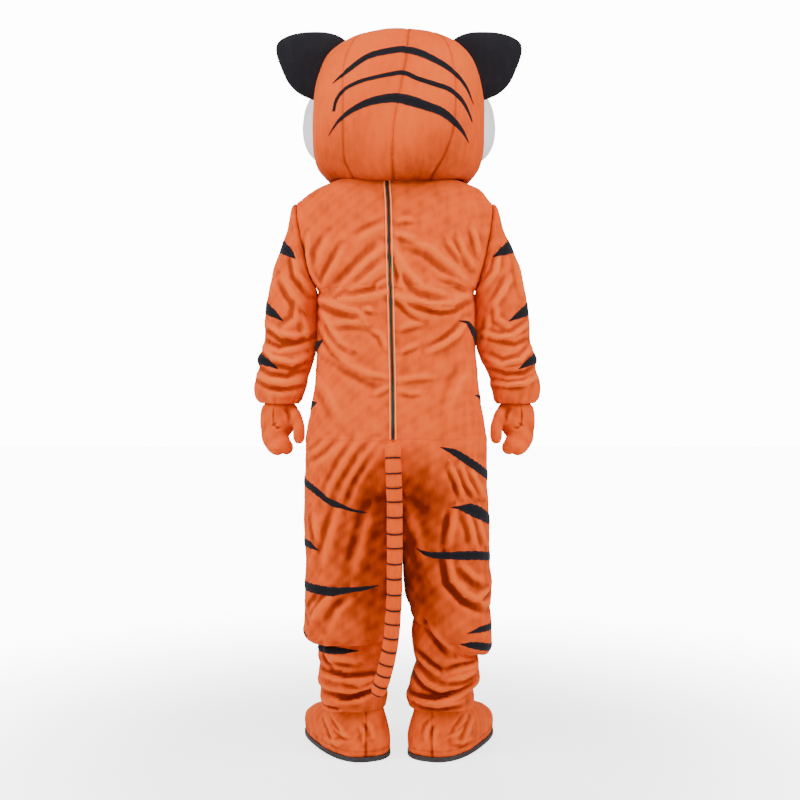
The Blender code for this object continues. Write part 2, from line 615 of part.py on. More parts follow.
def egg(name, centre, half_sizes, finish, home, segments=14, rings=8):
    """A rounded pad from a sphere."""
    made = bmesh.new()
    bmesh.ops.create_uvsphere(made, u_segments=segments, v_segments=rings, radius=1.0)
    bmesh.ops.scale(made, verts=made.verts, vec=half_sizes)
    bmesh.ops.translate(made, verts=made.verts, vec=centre)
    return piece(name, made, finish, home) if finish else cutter(name, made, home)


def head_keepout(home, gap):
    """The head's outer form, a gap larger, filled: it cuts what sits on the head."""
    rings = [head_ring(row, gap) for row in table(HEAD_COLUMNS, HEAD_ROWS[:-1])]
    return cutter("head_form", solid_loft(rings), home)


def build_face(home, cutters, keepout):
    """The plain front: muzzle, chin, nose, eyes and the two plush cheeks."""
    pads = {name: egg(name, centre, sizes, WHITE, home) for name, (centre, sizes) in PADS.items()}
    for pad in pads.values():
        cut(pad, keepout)
    centre, sizes = PADS["muzzle"]
    muzzle_form = egg("muzzle_form", centre, [size + 2 * SEAM_GAP for size in sizes], None, cutters)
    cut(pads["chin"], muzzle_form)
    nose = egg("nose", *NOSE, GLOSS_BLACK, home, 12, 7)
    cut(nose, muzzle_form)
    for side, word in ((1, "left"), (-1, "right")):
        (across, deep, high), sizes = EYE
        eye = egg("eye_" + word, (side * across, deep, high), sizes, GLOSS_BLACK, home, 12, 7)
        cut(eye, keepout)
        rings = []
        for row in table(CHEEK_COLUMNS, CHEEK_ROWS):
            middle_x, middle_y = (row.inner + row.outer) / 2, (row.front + row.back) / 2
            half_x, half_y = (row.outer - row.inner) / 2, (row.back - row.front) / 2
            rings.append([(side * (middle_x + half_x * cos(turn)), middle_y + half_y * sin(turn), row.height)
                          for turn in np.linspace(0, 2 * pi, 12, endpoint=False)])
        cheek = piece("cheek_" + word, solid_loft(rings), WHITE, home)
        cut(cheek, keepout)
        cut(cheek, muzzle_form)


def ear_shell(side, name, face_y, seam_y, finish, home):
    """One padded face of an ear: its outline rising to a domed middle."""
    outline = [(x, height) for x, height in EAR_OUTLINE]
    made = bmesh.new()
    levels = ((1.0, 0.0), (0.93, 0.62), (0.70, 0.92), (0.35, 1.0))
    rows = []
    for size, rise in levels:
        rows.append([made.verts.new((side * mix(EAR_MIDDLE[0], x, size), mix(seam_y, face_y, rise),
                                     mix(EAR_MIDDLE[1], height, size))) for x, height in outline])
    grid_faces(made, rows, True, False)
    made.faces.new(rows[-1])
    made.faces.new(rows[0][::-1])
    return piece(name, made, finish, home)


def build_ears(home, keepout):
    """Black backs and white fronts, cut to sit on the head."""
    for side, word in ((1, "left"), (-1, "right")):
        back = ear_shell(side, "ear_back_" + word, EAR_BACK_Y, EAR_SEAM_Y + SEAM_GAP / 2, BLACK, home)
        front = ear_shell(side, "ear_front_" + word, EAR_FRONT_Y, EAR_SEAM_Y - SEAM_GAP / 2, WHITE, home)
        for ear in (back, front):
            cut(ear, keepout)


# ---------------------------------------------------------------- shoes, gloves, tail and zip
def shoe_ring(row, side, grow=0.0, count=16):
    """A level section of a shoe, turned out about its heel."""
    heel_x, heel_y = SHOE_HEEL
    length, middle = (row.toe - row.heel) / 2 + grow, (row.toe + row.heel) / 2
    points = []
    for turn in np.linspace(0, 2 * pi, count, endpoint=False):
        forward = middle + length * power(cos(turn), 2 / SHOE_SQUARE)
        across = (row.half_width + grow) * power(sin(turn), 2 / SHOE_SQUARE)
        swing = radians(TOE_OUT)
        points.append((side * (heel_x + forward * sin(swing) + across * cos(swing)),
                       heel_y - forward * cos(swing) + across * sin(swing), row.height))
    return points


def build_shoes(home):
    """Plush shoe covers, open at the ankle, each standing on its sole."""
    rows = table(SHOE_COLUMNS, SHOE_ROWS)
    for side, word in ((1, "left"), (-1, "right")):
        outer = np.array([shoe_ring(row, side) for row in rows])
        inner = np.array([shoe_ring(row, side, -SHOE_WALL) for row in rows])
        inner[-2:, :, 2] -= 0.001
        piece("shoe_" + word, wall(outer, inner, closed=True), ORANGE, home)
        ground = SimpleNamespace(**vars(rows[0]))
        rings = []
        for height, grow in ((0.0, 0.001), (0.003, 0.004), (SOLE_THICKNESS, 0.004)):
            ground.height = height
            rings.append(shoe_ring(ground, side, grow))
        piece("sole_" + word, solid_loft(rings), SOLE_BLACK, home, smooth=False)


def bent_tube(points, radius, side, shift_x=0.0, count=6):
    """A round-ended tube along a bent line."""
    line = [Vector((side * (x - shift_x), y, z)) for x, y, z in points]
    rings = []
    for index, point in enumerate(line):
        before, after = line[max(index - 1, 0)], line[min(index + 1, len(line) - 1)]
        along = (after - before).normalized()
        out = along.orthogonal() if index == 0 else (out - along * out.dot(along))
        out.normalize()
        cross = along.cross(out)
        sizes = ((0.0, radius),)
        if index == 0:
            sizes = ((-0.70 * radius, 0.6 * radius), (0.0, radius))
        if index == len(line) - 1:
            sizes = ((0.0, radius), (0.80 * radius, 0.55 * radius))
        for shift, reach in sizes:
            rings.append([point + along * shift + (out * cos(turn) + cross * sin(turn)) * reach
                          for turn in np.linspace(0, 2 * pi, count, endpoint=False)])
    return solid_loft(rings)


def palm_form(side, shrink, rise, shift_x):
    """The glove's palm as a filled form; rise lifts its wrist end."""
    rings = []
    for index, (x, y, height, wide, deep) in enumerate(PALM_RINGS):
        lift = rise if index == 0 else (shrink if index == len(PALM_RINGS) - 1 else 0.0)
        rings.append([(side * (x - shift_x + (wide - shrink) * cos(turn)), y + (deep - shrink) * sin(turn),
                       height + lift) for turn in np.linspace(0, 2 * pi, 9, endpoint=False)])
    return solid_loft(rings)


def build_gloves(home, cutters):
    """Hollow gloves, open at the wrist: outer forms joined, then the same forms smaller taken out."""
    for side, word, shift in ((1, "left", 0.0), (-1, "right", RIGHT_GLOVE_SHIFT)):
        glove = piece("glove_" + word, palm_form(side, 0.0, 0.0, shift), ORANGE, home)
        for number, (radius, points) in enumerate(FINGERS, 1):
            finger = cutter(f"finger_{word}_{number}", bent_tube(points, radius, side, shift), cutters)
            cut(glove, finger, "UNION")
        hollow = cutter("hand_space_" + word, palm_form(side, GLOVE_WALL, 0.02, shift), cutters)
        for number, (radius, points) in enumerate(FINGERS, 1):
            space = cutter(f"finger_space_{word}_{number}",
                           bent_tube(points, radius - GLOVE_WALL, side, shift), cutters)
            cut(hollow, space, "UNION")
        cut(glove, hollow)


def build_tail(home):
    """The stuffed tail, hanging from the seat over the backs of the legs."""
    piece("tail", bent_tube(TAIL_POINTS, TAIL_RADIUS, 1, count=10), ORANGE, home)


def build_zip(home, quarters, shared):
    """The zip's tape and chain behind the two turned edges, its slider at the top, and the pull tab."""
    grid, normals = quarters[1, 1][:, 0], shared[1, 1][:, 0]
    keep = grid[:, 2] <= ZIP_TOP + 0.02
    line, out = grid[keep], normals[keep]
    below = CLOTH + SEAM_GAP
    edge = below + ZIP_TAPE_FALL
    profile = ((-ZIP_TAPE, -edge), (-ZIP_CHAIN, -below), (-ZIP_CHAIN, 0.0), (ZIP_CHAIN, 0.0),
               (ZIP_CHAIN, -below), (ZIP_TAPE, -edge), (ZIP_TAPE, -edge - ZIP_TAPE_THICKNESS),
               (-ZIP_TAPE, -edge - ZIP_TAPE_THICKNESS))
    rings = []
    for point, normal in zip(line, out):
        across = np.array((normal[1], -normal[0], 0.0))
        across /= np.linalg.norm(across)
        rings.append([point + across * x + normal * lift for x, lift in profile])
    rings[-1] = [np.array((x, y, ZIP_TOP)) for x, y, _ in rings[-1]]
    piece("zip", solid_loft(rings), ZIP_GREEN, home, smooth=False)


# ---------------------------------------------------------------- black stripes
# On the body, sleeves and legs a stripe's places are given by how far round from the outer side
# (degrees, towards the back), its height and its half width; each goes on round to the front by "wrap".
TIP = 0.0007
LEG_STRIPES = {
    ("left", 1): (60, ((20, 0.712, 0.0098), (75, 0.683, 0.0100), (94, 0.657, 0.0085), (106, 0.645, 0.0048),
                       (120, 0.640, TIP))),
    ("left", 2): (45, ((4, 0.556, 0.0115), (36, 0.554, 0.0092), (52, 0.543, TIP))),
    ("left", 3): (60, ((3, 0.448, 0.0100), (52, 0.444, 0.0118), (71, 0.442, 0.0112), (86, 0.446, 0.0075),
                       (98, 0.452, 0.0045), (110, 0.458, TIP))),
    ("left", 4): (30, ((6, 0.328, 0.0070), (30, 0.320, TIP))),
    ("left", 5): (40, ((0, 0.284, 0.0060), (34, 0.286, 0.0076), (60, 0.288, 0.0090), (76, 0.288, 0.0068),
                       (92, 0.289, TIP))),
    ("right", 1): (55, ((8, 0.726, 0.0112), (66, 0.751, 0.0118), (94, 0.774, 0.0106), (110, 0.789, 0.0088),
                        (131, 0.803, TIP))),
    ("right", 2): (50, ((3, 0.612, 0.0125), (57, 0.639, 0.0148), (77, 0.650, 0.0115), (94, 0.653, TIP))),
    ("right", 3): (60, ((5, 0.519, 0.0100), (55, 0.531, 0.0112), (76, 0.533, 0.0108), (96, 0.535, 0.0074),
                        (115, 0.552, TIP))),
    ("right", 4): (40, ((3, 0.342, 0.0100), (52, 0.344, 0.0072), (74, 0.339, TIP))),
    ("right", 5): (35, ((9, 0.288, 0.0085), (51, 0.302, 0.0100), (68, 0.309, 0.0080), (82, 0.312, TIP))),
}
SLEEVE_STRIPES = {
    ("left", 1): (45, ((10, 1.318, 0.0165), (59, 1.294, 0.0088), (79, 1.278, TIP))),
    ("left", 2): (45, ((5, 1.161, 0.0165), (53, 1.140, 0.0088), (77, 1.121, TIP))),
    ("left", 3): (45, ((5, 1.029, 0.0160), (58, 1.014, 0.0086), (83, 0.999, TIP))),
    ("right", 1): (45, ((7, 1.319, 0.0175), (57, 1.298, 0.0092), (84, 1.283, TIP))),
    ("right", 2): (45, ((5, 1.158, 0.0175), (52, 1.138, 0.0092), (80, 1.120, TIP))),
    ("right", 3): (45, ((5, 1.029, 0.0160), (54, 1.015, 0.0086), (82, 0.999, TIP))),
}
WAIST_STRIPES = {
    ("left", 1): (25, ((2, 1.058, 0.0140), (20, 1.065, 0.0075), (28, 1.074, TIP))),
    ("left", 2): (25, ((3, 0.905, 0.0120), (14, 0.909, 0.0090), (25, 0.913, TIP))),
    ("right", 1): (30, ((1, 1.078, 0.0190), (20, 1.099, 0.0110), (31, 1.116, 0.0045), (42, 1.120, TIP))),
    ("right", 2): (25, ((1, 0.924, 0.0110), (12, 0.928, 0.0064), (24, 0.932, TIP))),
}
HEAD_STRIPES = {            # x, height and half width across the back of the head
    "crown": ((0.166, 1.711, TIP), (0.127, 1.736, 0.0060), (0.078, 1.767, 0.0075), (0.035, 1.778, 0.0088),
              (-0.009, 1.785, 0.0090), (-0.045, 1.778, 0.0098), (-0.086, 1.761, 0.0088),
              (-0.119, 1.745, 0.0074), (-0.146, 1.727, 0.0056), (-0.168, 1.702, 0.0038),
              (-0.188, 1.664, TIP)),
    "middle": ((0.162, 1.638, 0.0036), (0.156, 1.664, 0.0040), (0.142, 1.684, 0.0045),
               (0.101, 1.702, 0.0047), (0.061, 1.711, 0.0048), (0.021, 1.718, 0.0053),
               (-0.009, 1.722, 0.0060), (-0.045, 1.708, 0.0057), (-0.086, 1.697, 0.0060),
               (-0.127, 1.686, 0.0062), (-0.155, 1.666, 0.0054), (-0.174, 1.639, 0.0033),
               (-0.183, 1.618, 0.0015)),
    "lower": ((0.176, 1.582, TIP), (0.155, 1.607, 0.0032), (0.128, 1.627, 0.0060), (0.092, 1.644, 0.0082),
              (0.045, 1.655, 0.0102), (0.005, 1.658, 0.0117), (-0.033, 1.650, 0.0127),
              (-0.071, 1.639, 0.0110), (-0.105, 1.629, 0.0104), (-0.132, 1.613, 0.0088),
              (-0.159, 1.588, 0.0045), (-0.175, 1.565, TIP)),
}
CUT_IN, CUT_OUT = 0.010, 0.022      # how far a stripe's cutter reaches through the cloth


def spot_on(grid, normals, column, height):
    """The point and normal of a surface at a column and a height, its rows running up or down."""
    low = int(min(max(column, 0), grid.shape[1] - 1.001))
    share = column - low
    line = mix(grid[:, low], grid[:, low + 1], share)
    out = mix(normals[:, low], normals[:, low + 1], share)
    for row in range(len(line) - 1):
        start, end = line[row, 2], line[row + 1, 2]
        if min(start, end) <= height <= max(start, end):
            place = (height - start) / (end - start)
            return mix(line[row], line[row + 1], place), mix(out[row], out[row + 1], place)
    near = int(np.argmin(np.abs(line[:, 2] - height)))
    return line[near], out[near]


def ribbon(points, normals, half_widths):
    """A closed ribbon across a surface, thick enough to cut a stripe out of a layer."""
    points, normals = np.array(points), np.array(normals)
    along = np.gradient(points, axis=0)
    rings = []
    for point, normal, step, half in zip(points, normals, along, half_widths):
        normal = normal / np.linalg.norm(normal)
        across = np.cross(normal, step)
        across /= np.linalg.norm(across)
        rings.append([point + across * half - normal * CUT_IN, point + across * half + normal * CUT_OUT,
                      point - across * half + normal * CUT_OUT, point - across * half - normal * CUT_IN])
    return solid_loft(rings)


def patch(name, grid, normals, places, home, cutters):
    """A stripe: a layer of the panel's own points moved out, kept only inside a ribbon."""
    points, outs, halves = zip(*places)
    layer = wall(grid + normals * (SEAM_GAP + PATCH), grid + normals * SEAM_GAP)
    stripe = piece(name, layer, BLACK, home, smooth=False)
    cut(stripe, cutter(name + "_outline", ribbon(points, outs, halves), cutters), "INTERSECT")


def wrapped(stations, wrap):
    """A stripe's stations with its end on the front added."""
    turn, height, half = stations[0]
    return ((-wrap, height + 0.008, TIP), (-wrap / 2, height + 0.004, half * 0.75)) + stations


def side_grid(halves):
    """A back and a front half joined at the side seam into one open grid."""
    (back, back_normals), (front, front_normals) = halves
    return (np.concatenate([back, front[:, ::-1][:, 1:]], axis=1),
            np.concatenate([back_normals, front_normals[:, ::-1][:, 1:]], axis=1))


def build_stripes(home, cutters, body, sleeves, legs, head):
    """Every black stripe on the body, sleeves, legs and head."""
    for (word, number), (wrap, stations) in LEG_STRIPES.items():
        grid, normals = side_grid(legs[word])
        rows = slice(0, 14) if number < 5 or word == "right" else slice(15, None)
        grid, normals = grid[rows], normals[rows]
        middle = (grid.shape[1] - 1) / 2
        places = [(*spot_on(grid, normals, middle * (1 - turn / 180), height), half)
                  for turn, height, half in wrapped(stations, wrap)]
        patch(f"leg_stripe_{word}_{number}", grid, normals, places, home, cutters)
    for (word, number), (wrap, stations) in WAIST_STRIPES.items():
        grid, normals = side_grid(body[word])
        grid, normals = grid[:len(BODY_ROWS)], normals[:len(BODY_ROWS)]
        middle = (grid.shape[1] - 1) / 2
        places = [(*spot_on(grid, normals, middle * (1 - turn / 90), height), half)
                  for turn, height, half in wrapped(stations, wrap)]
        patch(f"waist_stripe_{word}_{number}", grid, normals, places, home, cutters)
    for (word, number), (wrap, stations) in SLEEVE_STRIPES.items():
        ring, ring_normals = sleeves[word]
        count = ring.shape[1]
        order = [(column + count // 2) % count for column in range(count + 1)]
        grid, normals = ring[1:, order], ring_normals[1:, order]
        places = [(*spot_on(grid, normals, count / 2 + turn * count / 360, height), half)
                  for turn, height, half in wrapped(stations, wrap)]
        patch(f"sleeve_stripe_{word}_{number}", grid, normals, places, home, cutters)
    grid, normals = head
    order = [(column + 12) % 24 for column in range(25)]
    grid, normals = grid[:-2, order], normals[:-2, order]
    for name, stations in HEAD_STRIPES.items():
        places = []
        for x, height, half in stations:
            columns = np.linspace(8, 16, 161)
            spots = [spot_on(grid, normals, column, height) for column in columns]
            point, normal = min(spots, key=lambda spot: abs(spot[0][0] - x))
            places.append((point, normal, half))
        patch("head_stripe_" + name, grid, normals, places, home, cutters)


# ---------------------------------------------------------------- the zip's slider and its pull tab
SLIDER_PLACE = (0.0300, 0.0975, 1.4935)         # on the zip's middle line, under the head
SLIDER_SLOPE = (0.0, -0.475, 0.880)             # up along the zip there
SLIDER_SIZE = (0.0095, 0.0036, 0.0130)          # across, out, along
BRIDGE = (0.0016, 0.0054, 0.0090)               # the loop on the slider that the pull turns in
PULL_SIZE = (0.0075, 0.0013, 0.0260)
PULL_AXIS_OUT = 0.0026                          # hinge line above the slider's face


def zip_frame():
    """Where the slider sits: its X across, its Y out of the zip, its Z up along it."""
    up = Vector(SLIDER_SLOPE).normalized()
    across = Vector((1, 0, 0))
    out = up.cross(across)
    turn = Matrix((across, out, up)).transposed().to_4x4()
    return Matrix.Translation(SLIDER_PLACE) @ turn


def block(low, high, frame):
    """A box between two corners in a frame."""
    made = bmesh.new()
    bmesh.ops.create_cube(made, size=1.0)
    low, high = Vector(low), Vector(high)
    bmesh.ops.scale(made, verts=made.verts, vec=high - low)
    bmesh.ops.translate(made, verts=made.verts, vec=(high + low) / 2)
    bmesh.ops.transform(made, matrix=frame, verts=made.verts)
    return made


def build_slider(home, cutters):
    """The slider with its bridge, and the pull tab on the hinge line inside the bridge."""
    frame = zip_frame()
    lift = 2 * SEAM_GAP
    wide, thick, long = SLIDER_SIZE
    face = lift + thick
    slider = piece("zip_slider", block((-wide / 2, lift, -long / 2), (wide / 2, face, long / 2), frame),
                   STEEL, home, smooth=False)
    bar, rise, span = BRIDGE
    loop = cutter("slider_bridge", block((-bar / 2, face - 0.001, -span / 2),
                                         (bar / 2, face + rise, span / 2), frame), cutters)
    gap = cutter("bridge_space", block((-bar, face, -span / 2 + bar / 2),
                                       (bar, face + rise - 0.0012, span / 2 - bar / 2), frame), cutters)
    cut(slider, loop, "UNION")
    cut(slider, gap)
    half_wide, half_thick = PULL_SIZE[0] / 2, PULL_SIZE[1] / 2
    axis = face + PULL_AXIS_OUT
    pull = piece("zip_pull", block((-half_wide, axis - half_thick, -PULL_SIZE[2]),
                                   (half_wide, axis + half_thick, 0.0008), frame), STEEL, home, smooth=False)
    slot = cutter("pull_slot", block((-0.0015, axis - 0.01, -0.0072), (0.0015, axis + 0.01, -0.0009),
                                     frame), cutters)
    cut(pull, slot)
    hinge = frame @ Vector((0, axis, 0)) - Vector((0, 0, HOLD_HEIGHT))
    pull.data.transform(Matrix.Translation(-hinge))
    pull.location = hinge


def build():
    """Every piece of the costume."""
    for old in list(bpy.data.objects):
        bpy.data.objects.remove(old, do_unlink=True)
    costume = collection("tiger_mascot_costume")
    cutters = collection("cutters")
    quarters, shared = build_body(costume)
    sleeves = {word: build_sleeve(side, "sleeve_" + word, quarters, shared, costume)
               for side, word in ((1, "left"), (-1, "right"))}
    legs = {word: build_leg(word, rows, costume)
            for word, rows in (("left", LEFT_LEG_ROWS), ("right", RIGHT_LEG_ROWS))}
    body = {word: [(quarters[side, face], shared[side, face]) for face in (1, -1)]
            for side, word in ((1, "left"), (-1, "right"))}
    head = build_head(costume)
    build_stripes(costume, cutters, body, sleeves, legs, head)
    keepout = head_keepout(cutters, 2 * SEAM_GAP)
    build_face(costume, cutters, keepout)
    build_ears(costume, keepout)
    build_shoes(costume)
    build_gloves(costume, cutters)
    build_tail(costume)
    build_zip(costume, quarters, shared)
    build_slider(costume, cutters)


build()
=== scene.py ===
"""Tiger mascot costume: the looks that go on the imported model.

Metres, +Z up. The costume's back faces +Y, +X is the wearer's left, and the origin is at the shoulders,
HOLD_HEIGHT above the floor. Heights in the tables are above the floor.
"""
import logging
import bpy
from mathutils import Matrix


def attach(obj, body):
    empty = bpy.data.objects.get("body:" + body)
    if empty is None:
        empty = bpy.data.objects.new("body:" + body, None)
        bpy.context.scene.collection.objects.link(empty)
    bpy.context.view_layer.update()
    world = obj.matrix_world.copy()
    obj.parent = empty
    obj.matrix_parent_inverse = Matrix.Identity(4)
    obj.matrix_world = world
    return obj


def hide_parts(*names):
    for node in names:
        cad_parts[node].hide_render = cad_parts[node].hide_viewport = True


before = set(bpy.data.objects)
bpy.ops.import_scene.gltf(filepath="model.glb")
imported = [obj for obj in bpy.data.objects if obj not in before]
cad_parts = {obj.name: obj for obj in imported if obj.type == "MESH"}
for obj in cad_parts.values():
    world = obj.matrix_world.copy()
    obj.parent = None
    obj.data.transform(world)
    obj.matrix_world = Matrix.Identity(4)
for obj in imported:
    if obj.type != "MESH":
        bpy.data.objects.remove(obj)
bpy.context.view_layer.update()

from copy import copy
from dataclasses import dataclass, field
from enum import Enum
from math import copysign, cos, pi, radians, sin
from typing import Any, Callable, Iterable, Sequence

import bmesh
import bpy
import numpy as np
from mathutils import Matrix, Vector

LOG = logging.getLogger("tiger_costume")

HOLD_HEIGHT = 1.48
SEAM_GAP = 0.0003
CLOTH = 0.0022
HEAD_WALL = 0.0075
PATCH = 0.0011
SIDE_ROUND = 2.4
ZIP_HALF_OPEN = 0.0074
BODY = "costume"

Point2 = tuple[float, float]
Grid = np.ndarray


class Side(Enum):
    """Which side of the wearer a piece is on; the value is the sign of x there."""

    LEFT = 1
    RIGHT = -1

    @property
    def word(self) -> str:
        """The side as it is written in a piece's name."""
        return self.name.lower()


class Face(Enum):
    """The half of a tube of cloth that faces back or front; the value is the sign of y there."""

    BACK = 1
    FRONT = -1


# ---------------------------------------------------------------- shader arithmetic
class Value:
    """A number that varies over a surface: a node's output with the usual arithmetic."""

    def __init__(self, nodes: "NodeTree", socket: bpy.types.NodeSocket) -> None:
        """Wrap one output socket of a tree."""
        self.nodes = nodes
        self.socket = socket

    def _math(self, operation: str, *others: Any, swapped: bool = False) -> "Value":
        """A Math node on this value and others.

        Args:
            operation: The Math node's operation.
            others: Further operands, as numbers or values.
            swapped: True to put this value second.

        Returns:
            The node's output.
        """
        operands = [self, *others]
        if swapped:
            operands = operands[::-1]
        node = self.nodes.add("ShaderNodeMath", {"operation": operation}, dict(enumerate(operands)))
        return Value(self.nodes, node.outputs[0])

    def __add__(self, other: Any) -> "Value":
        """Sum."""
        return self._math("ADD", other)

    __radd__ = __add__

    def __mul__(self, other: Any) -> "Value":
        """Product."""
        return self._math("MULTIPLY", other)

    __rmul__ = __mul__

    def __sub__(self, other: Any) -> "Value":
        """Difference."""
        return self._math("SUBTRACT", other)

    def __rsub__(self, other: Any) -> "Value":
        """Difference, this value taken away."""
        return self._math("SUBTRACT", other, swapped=True)

    def __pow__(self, other: float) -> "Value":
        """Power."""
        return self._math("POWER", other)

    def clamped(self) -> "Value":
        """The value held between 0 and 1."""
        return self._math("MAXIMUM", 0.0)._math("MINIMUM", 1.0)

    def spread(self, low: float, high: float) -> "Value":
        """The value mapped smoothly from low..high to 0..1."""
        node = self.nodes.add("ShaderNodeMapRange", {"interpolation_type": "SMOOTHSTEP"},
                              {"Value": self, "From Min": low, "From Max": high})
        return Value(self.nodes, node.outputs[0])


class NodeTree:
    """A material's nodes, added by type with their settings and inputs."""

    def __init__(self, name: str) -> None:
        """Start a material with only its Principled shader and output."""
        self.material = bpy.data.materials.new(name)
        self.material.use_nodes = True
        self.tree = self.material.node_tree
        self.shader = self.tree.nodes["Principled BSDF"]

    def add(self, kind: str, settings: dict[str, Any] | None = None,
            inputs: dict[Any, Any] | None = None) -> bpy.types.Node:
        """Add one node.

        Args:
            kind: The node's type name.
            settings: Properties set first; "stops" are a ramp's (place, colour) pairs.
            inputs: Socket names or numbers with values, links or wrapped values.

        Returns:
            The node.
        """
        node = self.tree.nodes.new(kind)
        for key, value in (settings or {}).items():
            if key == "stops":
                while len(node.color_ramp.elements) < len(value):
                    node.color_ramp.elements.new(0.5)
                for element, (place, colour) in zip(node.color_ramp.elements, value):
                    element.position, element.color = place, colour
            else:
                setattr(node, key, value)
        for key, value in (inputs or {}).items():
            self.feed(node.inputs[key], value)
        return node

    def feed(self, socket: bpy.types.NodeSocket, value: Any) -> None:
        """Set a socket to a number or colour, or link it."""
        if isinstance(value, Value):
            value = value.socket
        if isinstance(value, bpy.types.NodeSocket):
            self.tree.links.new(value, socket)
        else:
            socket.default_value = value

    def place(self) -> bpy.types.NodeSocket:
        """The surface point, in the model's own coordinates."""
        return self.add("ShaderNodeTexCoord").outputs["Object"]

    def noise(self, scale: float, detail: float = 2.0, stretch: Sequence[float] = (1, 1, 1),
              offset: float = 0.0) -> Value:
        """Soft noise over the surface.

        Args:
            scale: Cells to a metre.
            detail: Finer layers added.
            stretch: How much each axis is scaled, for streaks.
            offset: A shift that gives another pattern.

        Returns:
            The noise, about 0.5 on average.
        """
        mapping = self.add("ShaderNodeMapping", None,
                           {"Vector": self.place(), "Scale": tuple(stretch), "Location": (offset,) * 3})
        node = self.add("ShaderNodeTexNoise", None,
                        {"Vector": mapping.outputs[0], "Scale": scale, "Detail": detail})
        return Value(self, node.outputs[0])

    def attribute(self, name: str) -> Value:
        """A number stored on the mesh."""
        return Value(self, self.add("ShaderNodeAttribute", {"attribute_name": name}).outputs["Fac"])

    def blend(self, share: Any, first: Any, second: Any) -> bpy.types.NodeSocket:
        """A colour between two colours."""
        node = self.add("ShaderNodeMix", {"data_type": "RGBA"}, {"Factor": share})
        colours = [socket for socket in node.inputs if socket.type == "RGBA"]
        self.feed(colours[0], first)
        self.feed(colours[1], second)
        return [socket for socket in node.outputs if socket.type == "RGBA"][0]

    def bump(self, height: Any, distance: float, strength: float = 1.0, below: Any = None) -> bpy.types.NodeSocket:
        """A bumped normal, on top of another where given."""
        node = self.add("ShaderNodeBump", None,
                        {"Height": height, "Distance": distance, "Strength": strength})
        if below is not None:
            self.feed(node.inputs["Normal"], below)
        return node.outputs[0]

    def set(self, **values: Any) -> None:
        """Set or link the Principled shader's sockets, named with underscores for spaces."""
        for key, value in values.items():
            self.feed(self.shader.inputs[key.replace("_", " ").title().replace("Ior", "IOR")], value)


def rgba(colour: Sequence[float]) -> tuple[float, float, float, float]:
    """A colour with full alpha."""
    return (*colour, 1.0)


# ---------------------------------------------------------------- finishes
@dataclass(frozen=True)
class Plush:
    """Short-pile plush, lighter on its ridges and darker in its hollows: painted highlight and painted shade, mixed
    into its colour from numbers kept on the mesh.
    """

    name: str
    slot: str
    base: tuple[float, float, float]
    # deep is the painted shade colour, for hollows; light is the painted highlight colour, for ridges
    deep: tuple[float, float, float]
    light: tuple[float, float, float]
    roughness: float = 0.78
    sheen: float = 0.16
    sheen_tint: tuple[float, float, float] = (1.0, 0.34, 0.12)
    sheen_roughness: float = 0.35
    fibre: float = 0.0005
    crumple: float = 0.0016

    def make(self) -> bpy.types.Material:
        """Build the material.

        Returns:
            The material, its painted shade and highlight read from numbers stored on the mesh.
        """
        nodes = NodeTree(self.name)
        nap = nodes.attribute("nap")
        clouds = nodes.noise(7.0, 3.0)
        mottle_and_painted_shade = nodes.noise(70.0, 4.0, (1.0, 1.0, 0.35), 3.7)
        pile = nodes.noise(1500.0, 2.0, (1.0, 1.0, 0.6))
        # painted shade and highlight from the mesh, plus random mottling from two noises: below zero darkens toward the
        # painted shade colour, above zero lightens toward the painted highlight colour
        tone = nap * 0.85 + (clouds - 0.5) * 0.45 + (mottle_and_painted_shade - 0.5) * 0.5
        shade_and_mottle = nodes.blend((tone * -1.0).clamped(), rgba(self.base), rgba(self.deep))
        highlight_and_mottle = nodes.blend(tone.clamped(), shade_and_mottle, rgba(self.light))
        speck = nodes.blend(pile.spread(0.35, 0.7) * 0.16, highlight_and_mottle, rgba(self.deep))
        crumple = nodes.noise(38.0, 3.0, (1.0, 1.0, 0.55), 1.3)
        normal = nodes.bump(pile, self.fibre, 0.55, nodes.bump(crumple, self.crumple, 0.5))
        nodes.set(base_color=speck, roughness=(mottle_and_painted_shade - 0.5) * 0.12 + self.roughness, normal=normal,
                  sheen_weight=self.sheen, sheen_roughness=self.sheen_roughness,
                  sheen_tint=rgba(self.sheen_tint), specular_ior_level=0.08)
        return nodes.material


@dataclass(frozen=True)
class Moulded:
    """Rubber, moulded plastic or metal, faintly uneven."""

    name: str
    slot: str
    base: tuple[float, float, float]
    roughness: float
    metallic: float = 0.0
    grain: float = 400.0
    relief: float = 0.0002
    coat: float = 0.0

    def make(self) -> bpy.types.Material:
        """Build the material."""
        nodes = NodeTree(self.name)
        grain = nodes.noise(self.grain, 3.0)
        scuff = nodes.noise(45.0, 3.0, offset=2.0).spread(0.52, 0.75)
        colour = nodes.blend(scuff * 0.25, rgba(self.base), rgba([part * 1.6 + 0.01 for part in self.base]))
        nodes.set(base_color=colour, roughness=(grain - 0.5) * 0.1 + scuff * 0.08 + self.roughness,
                  metallic=self.metallic, normal=nodes.bump(grain, self.relief, 0.4), coat_weight=self.coat)
        return nodes.material


@dataclass(frozen=True)
class Woven:
    """Woven tape with its fine ribs across."""

    name: str
    slot: str
    base: tuple[float, float, float]
    other: tuple[float, float, float]

    def make(self) -> bpy.types.Material:
        """Build the material."""
        nodes = NodeTree(self.name)
        ribs = nodes.add("ShaderNodeTexWave", {"wave_type": "BANDS", "bands_direction": "Z"},
                         {"Vector": nodes.place(), "Scale": 260.0, "Distortion": 0.6})
        height = Value(nodes, ribs.outputs["Fac"])
        patchy = nodes.noise(4.0, 1.0, (0.3, 0.3, 1.6), 4.0).spread(0.44, 0.56)
        nodes.set(base_color=nodes.blend(patchy, rgba(self.base), rgba(self.other)),
                  roughness=height * 0.1 + 0.6, normal=nodes.bump(height, 0.0003, 0.6))
        return nodes.material
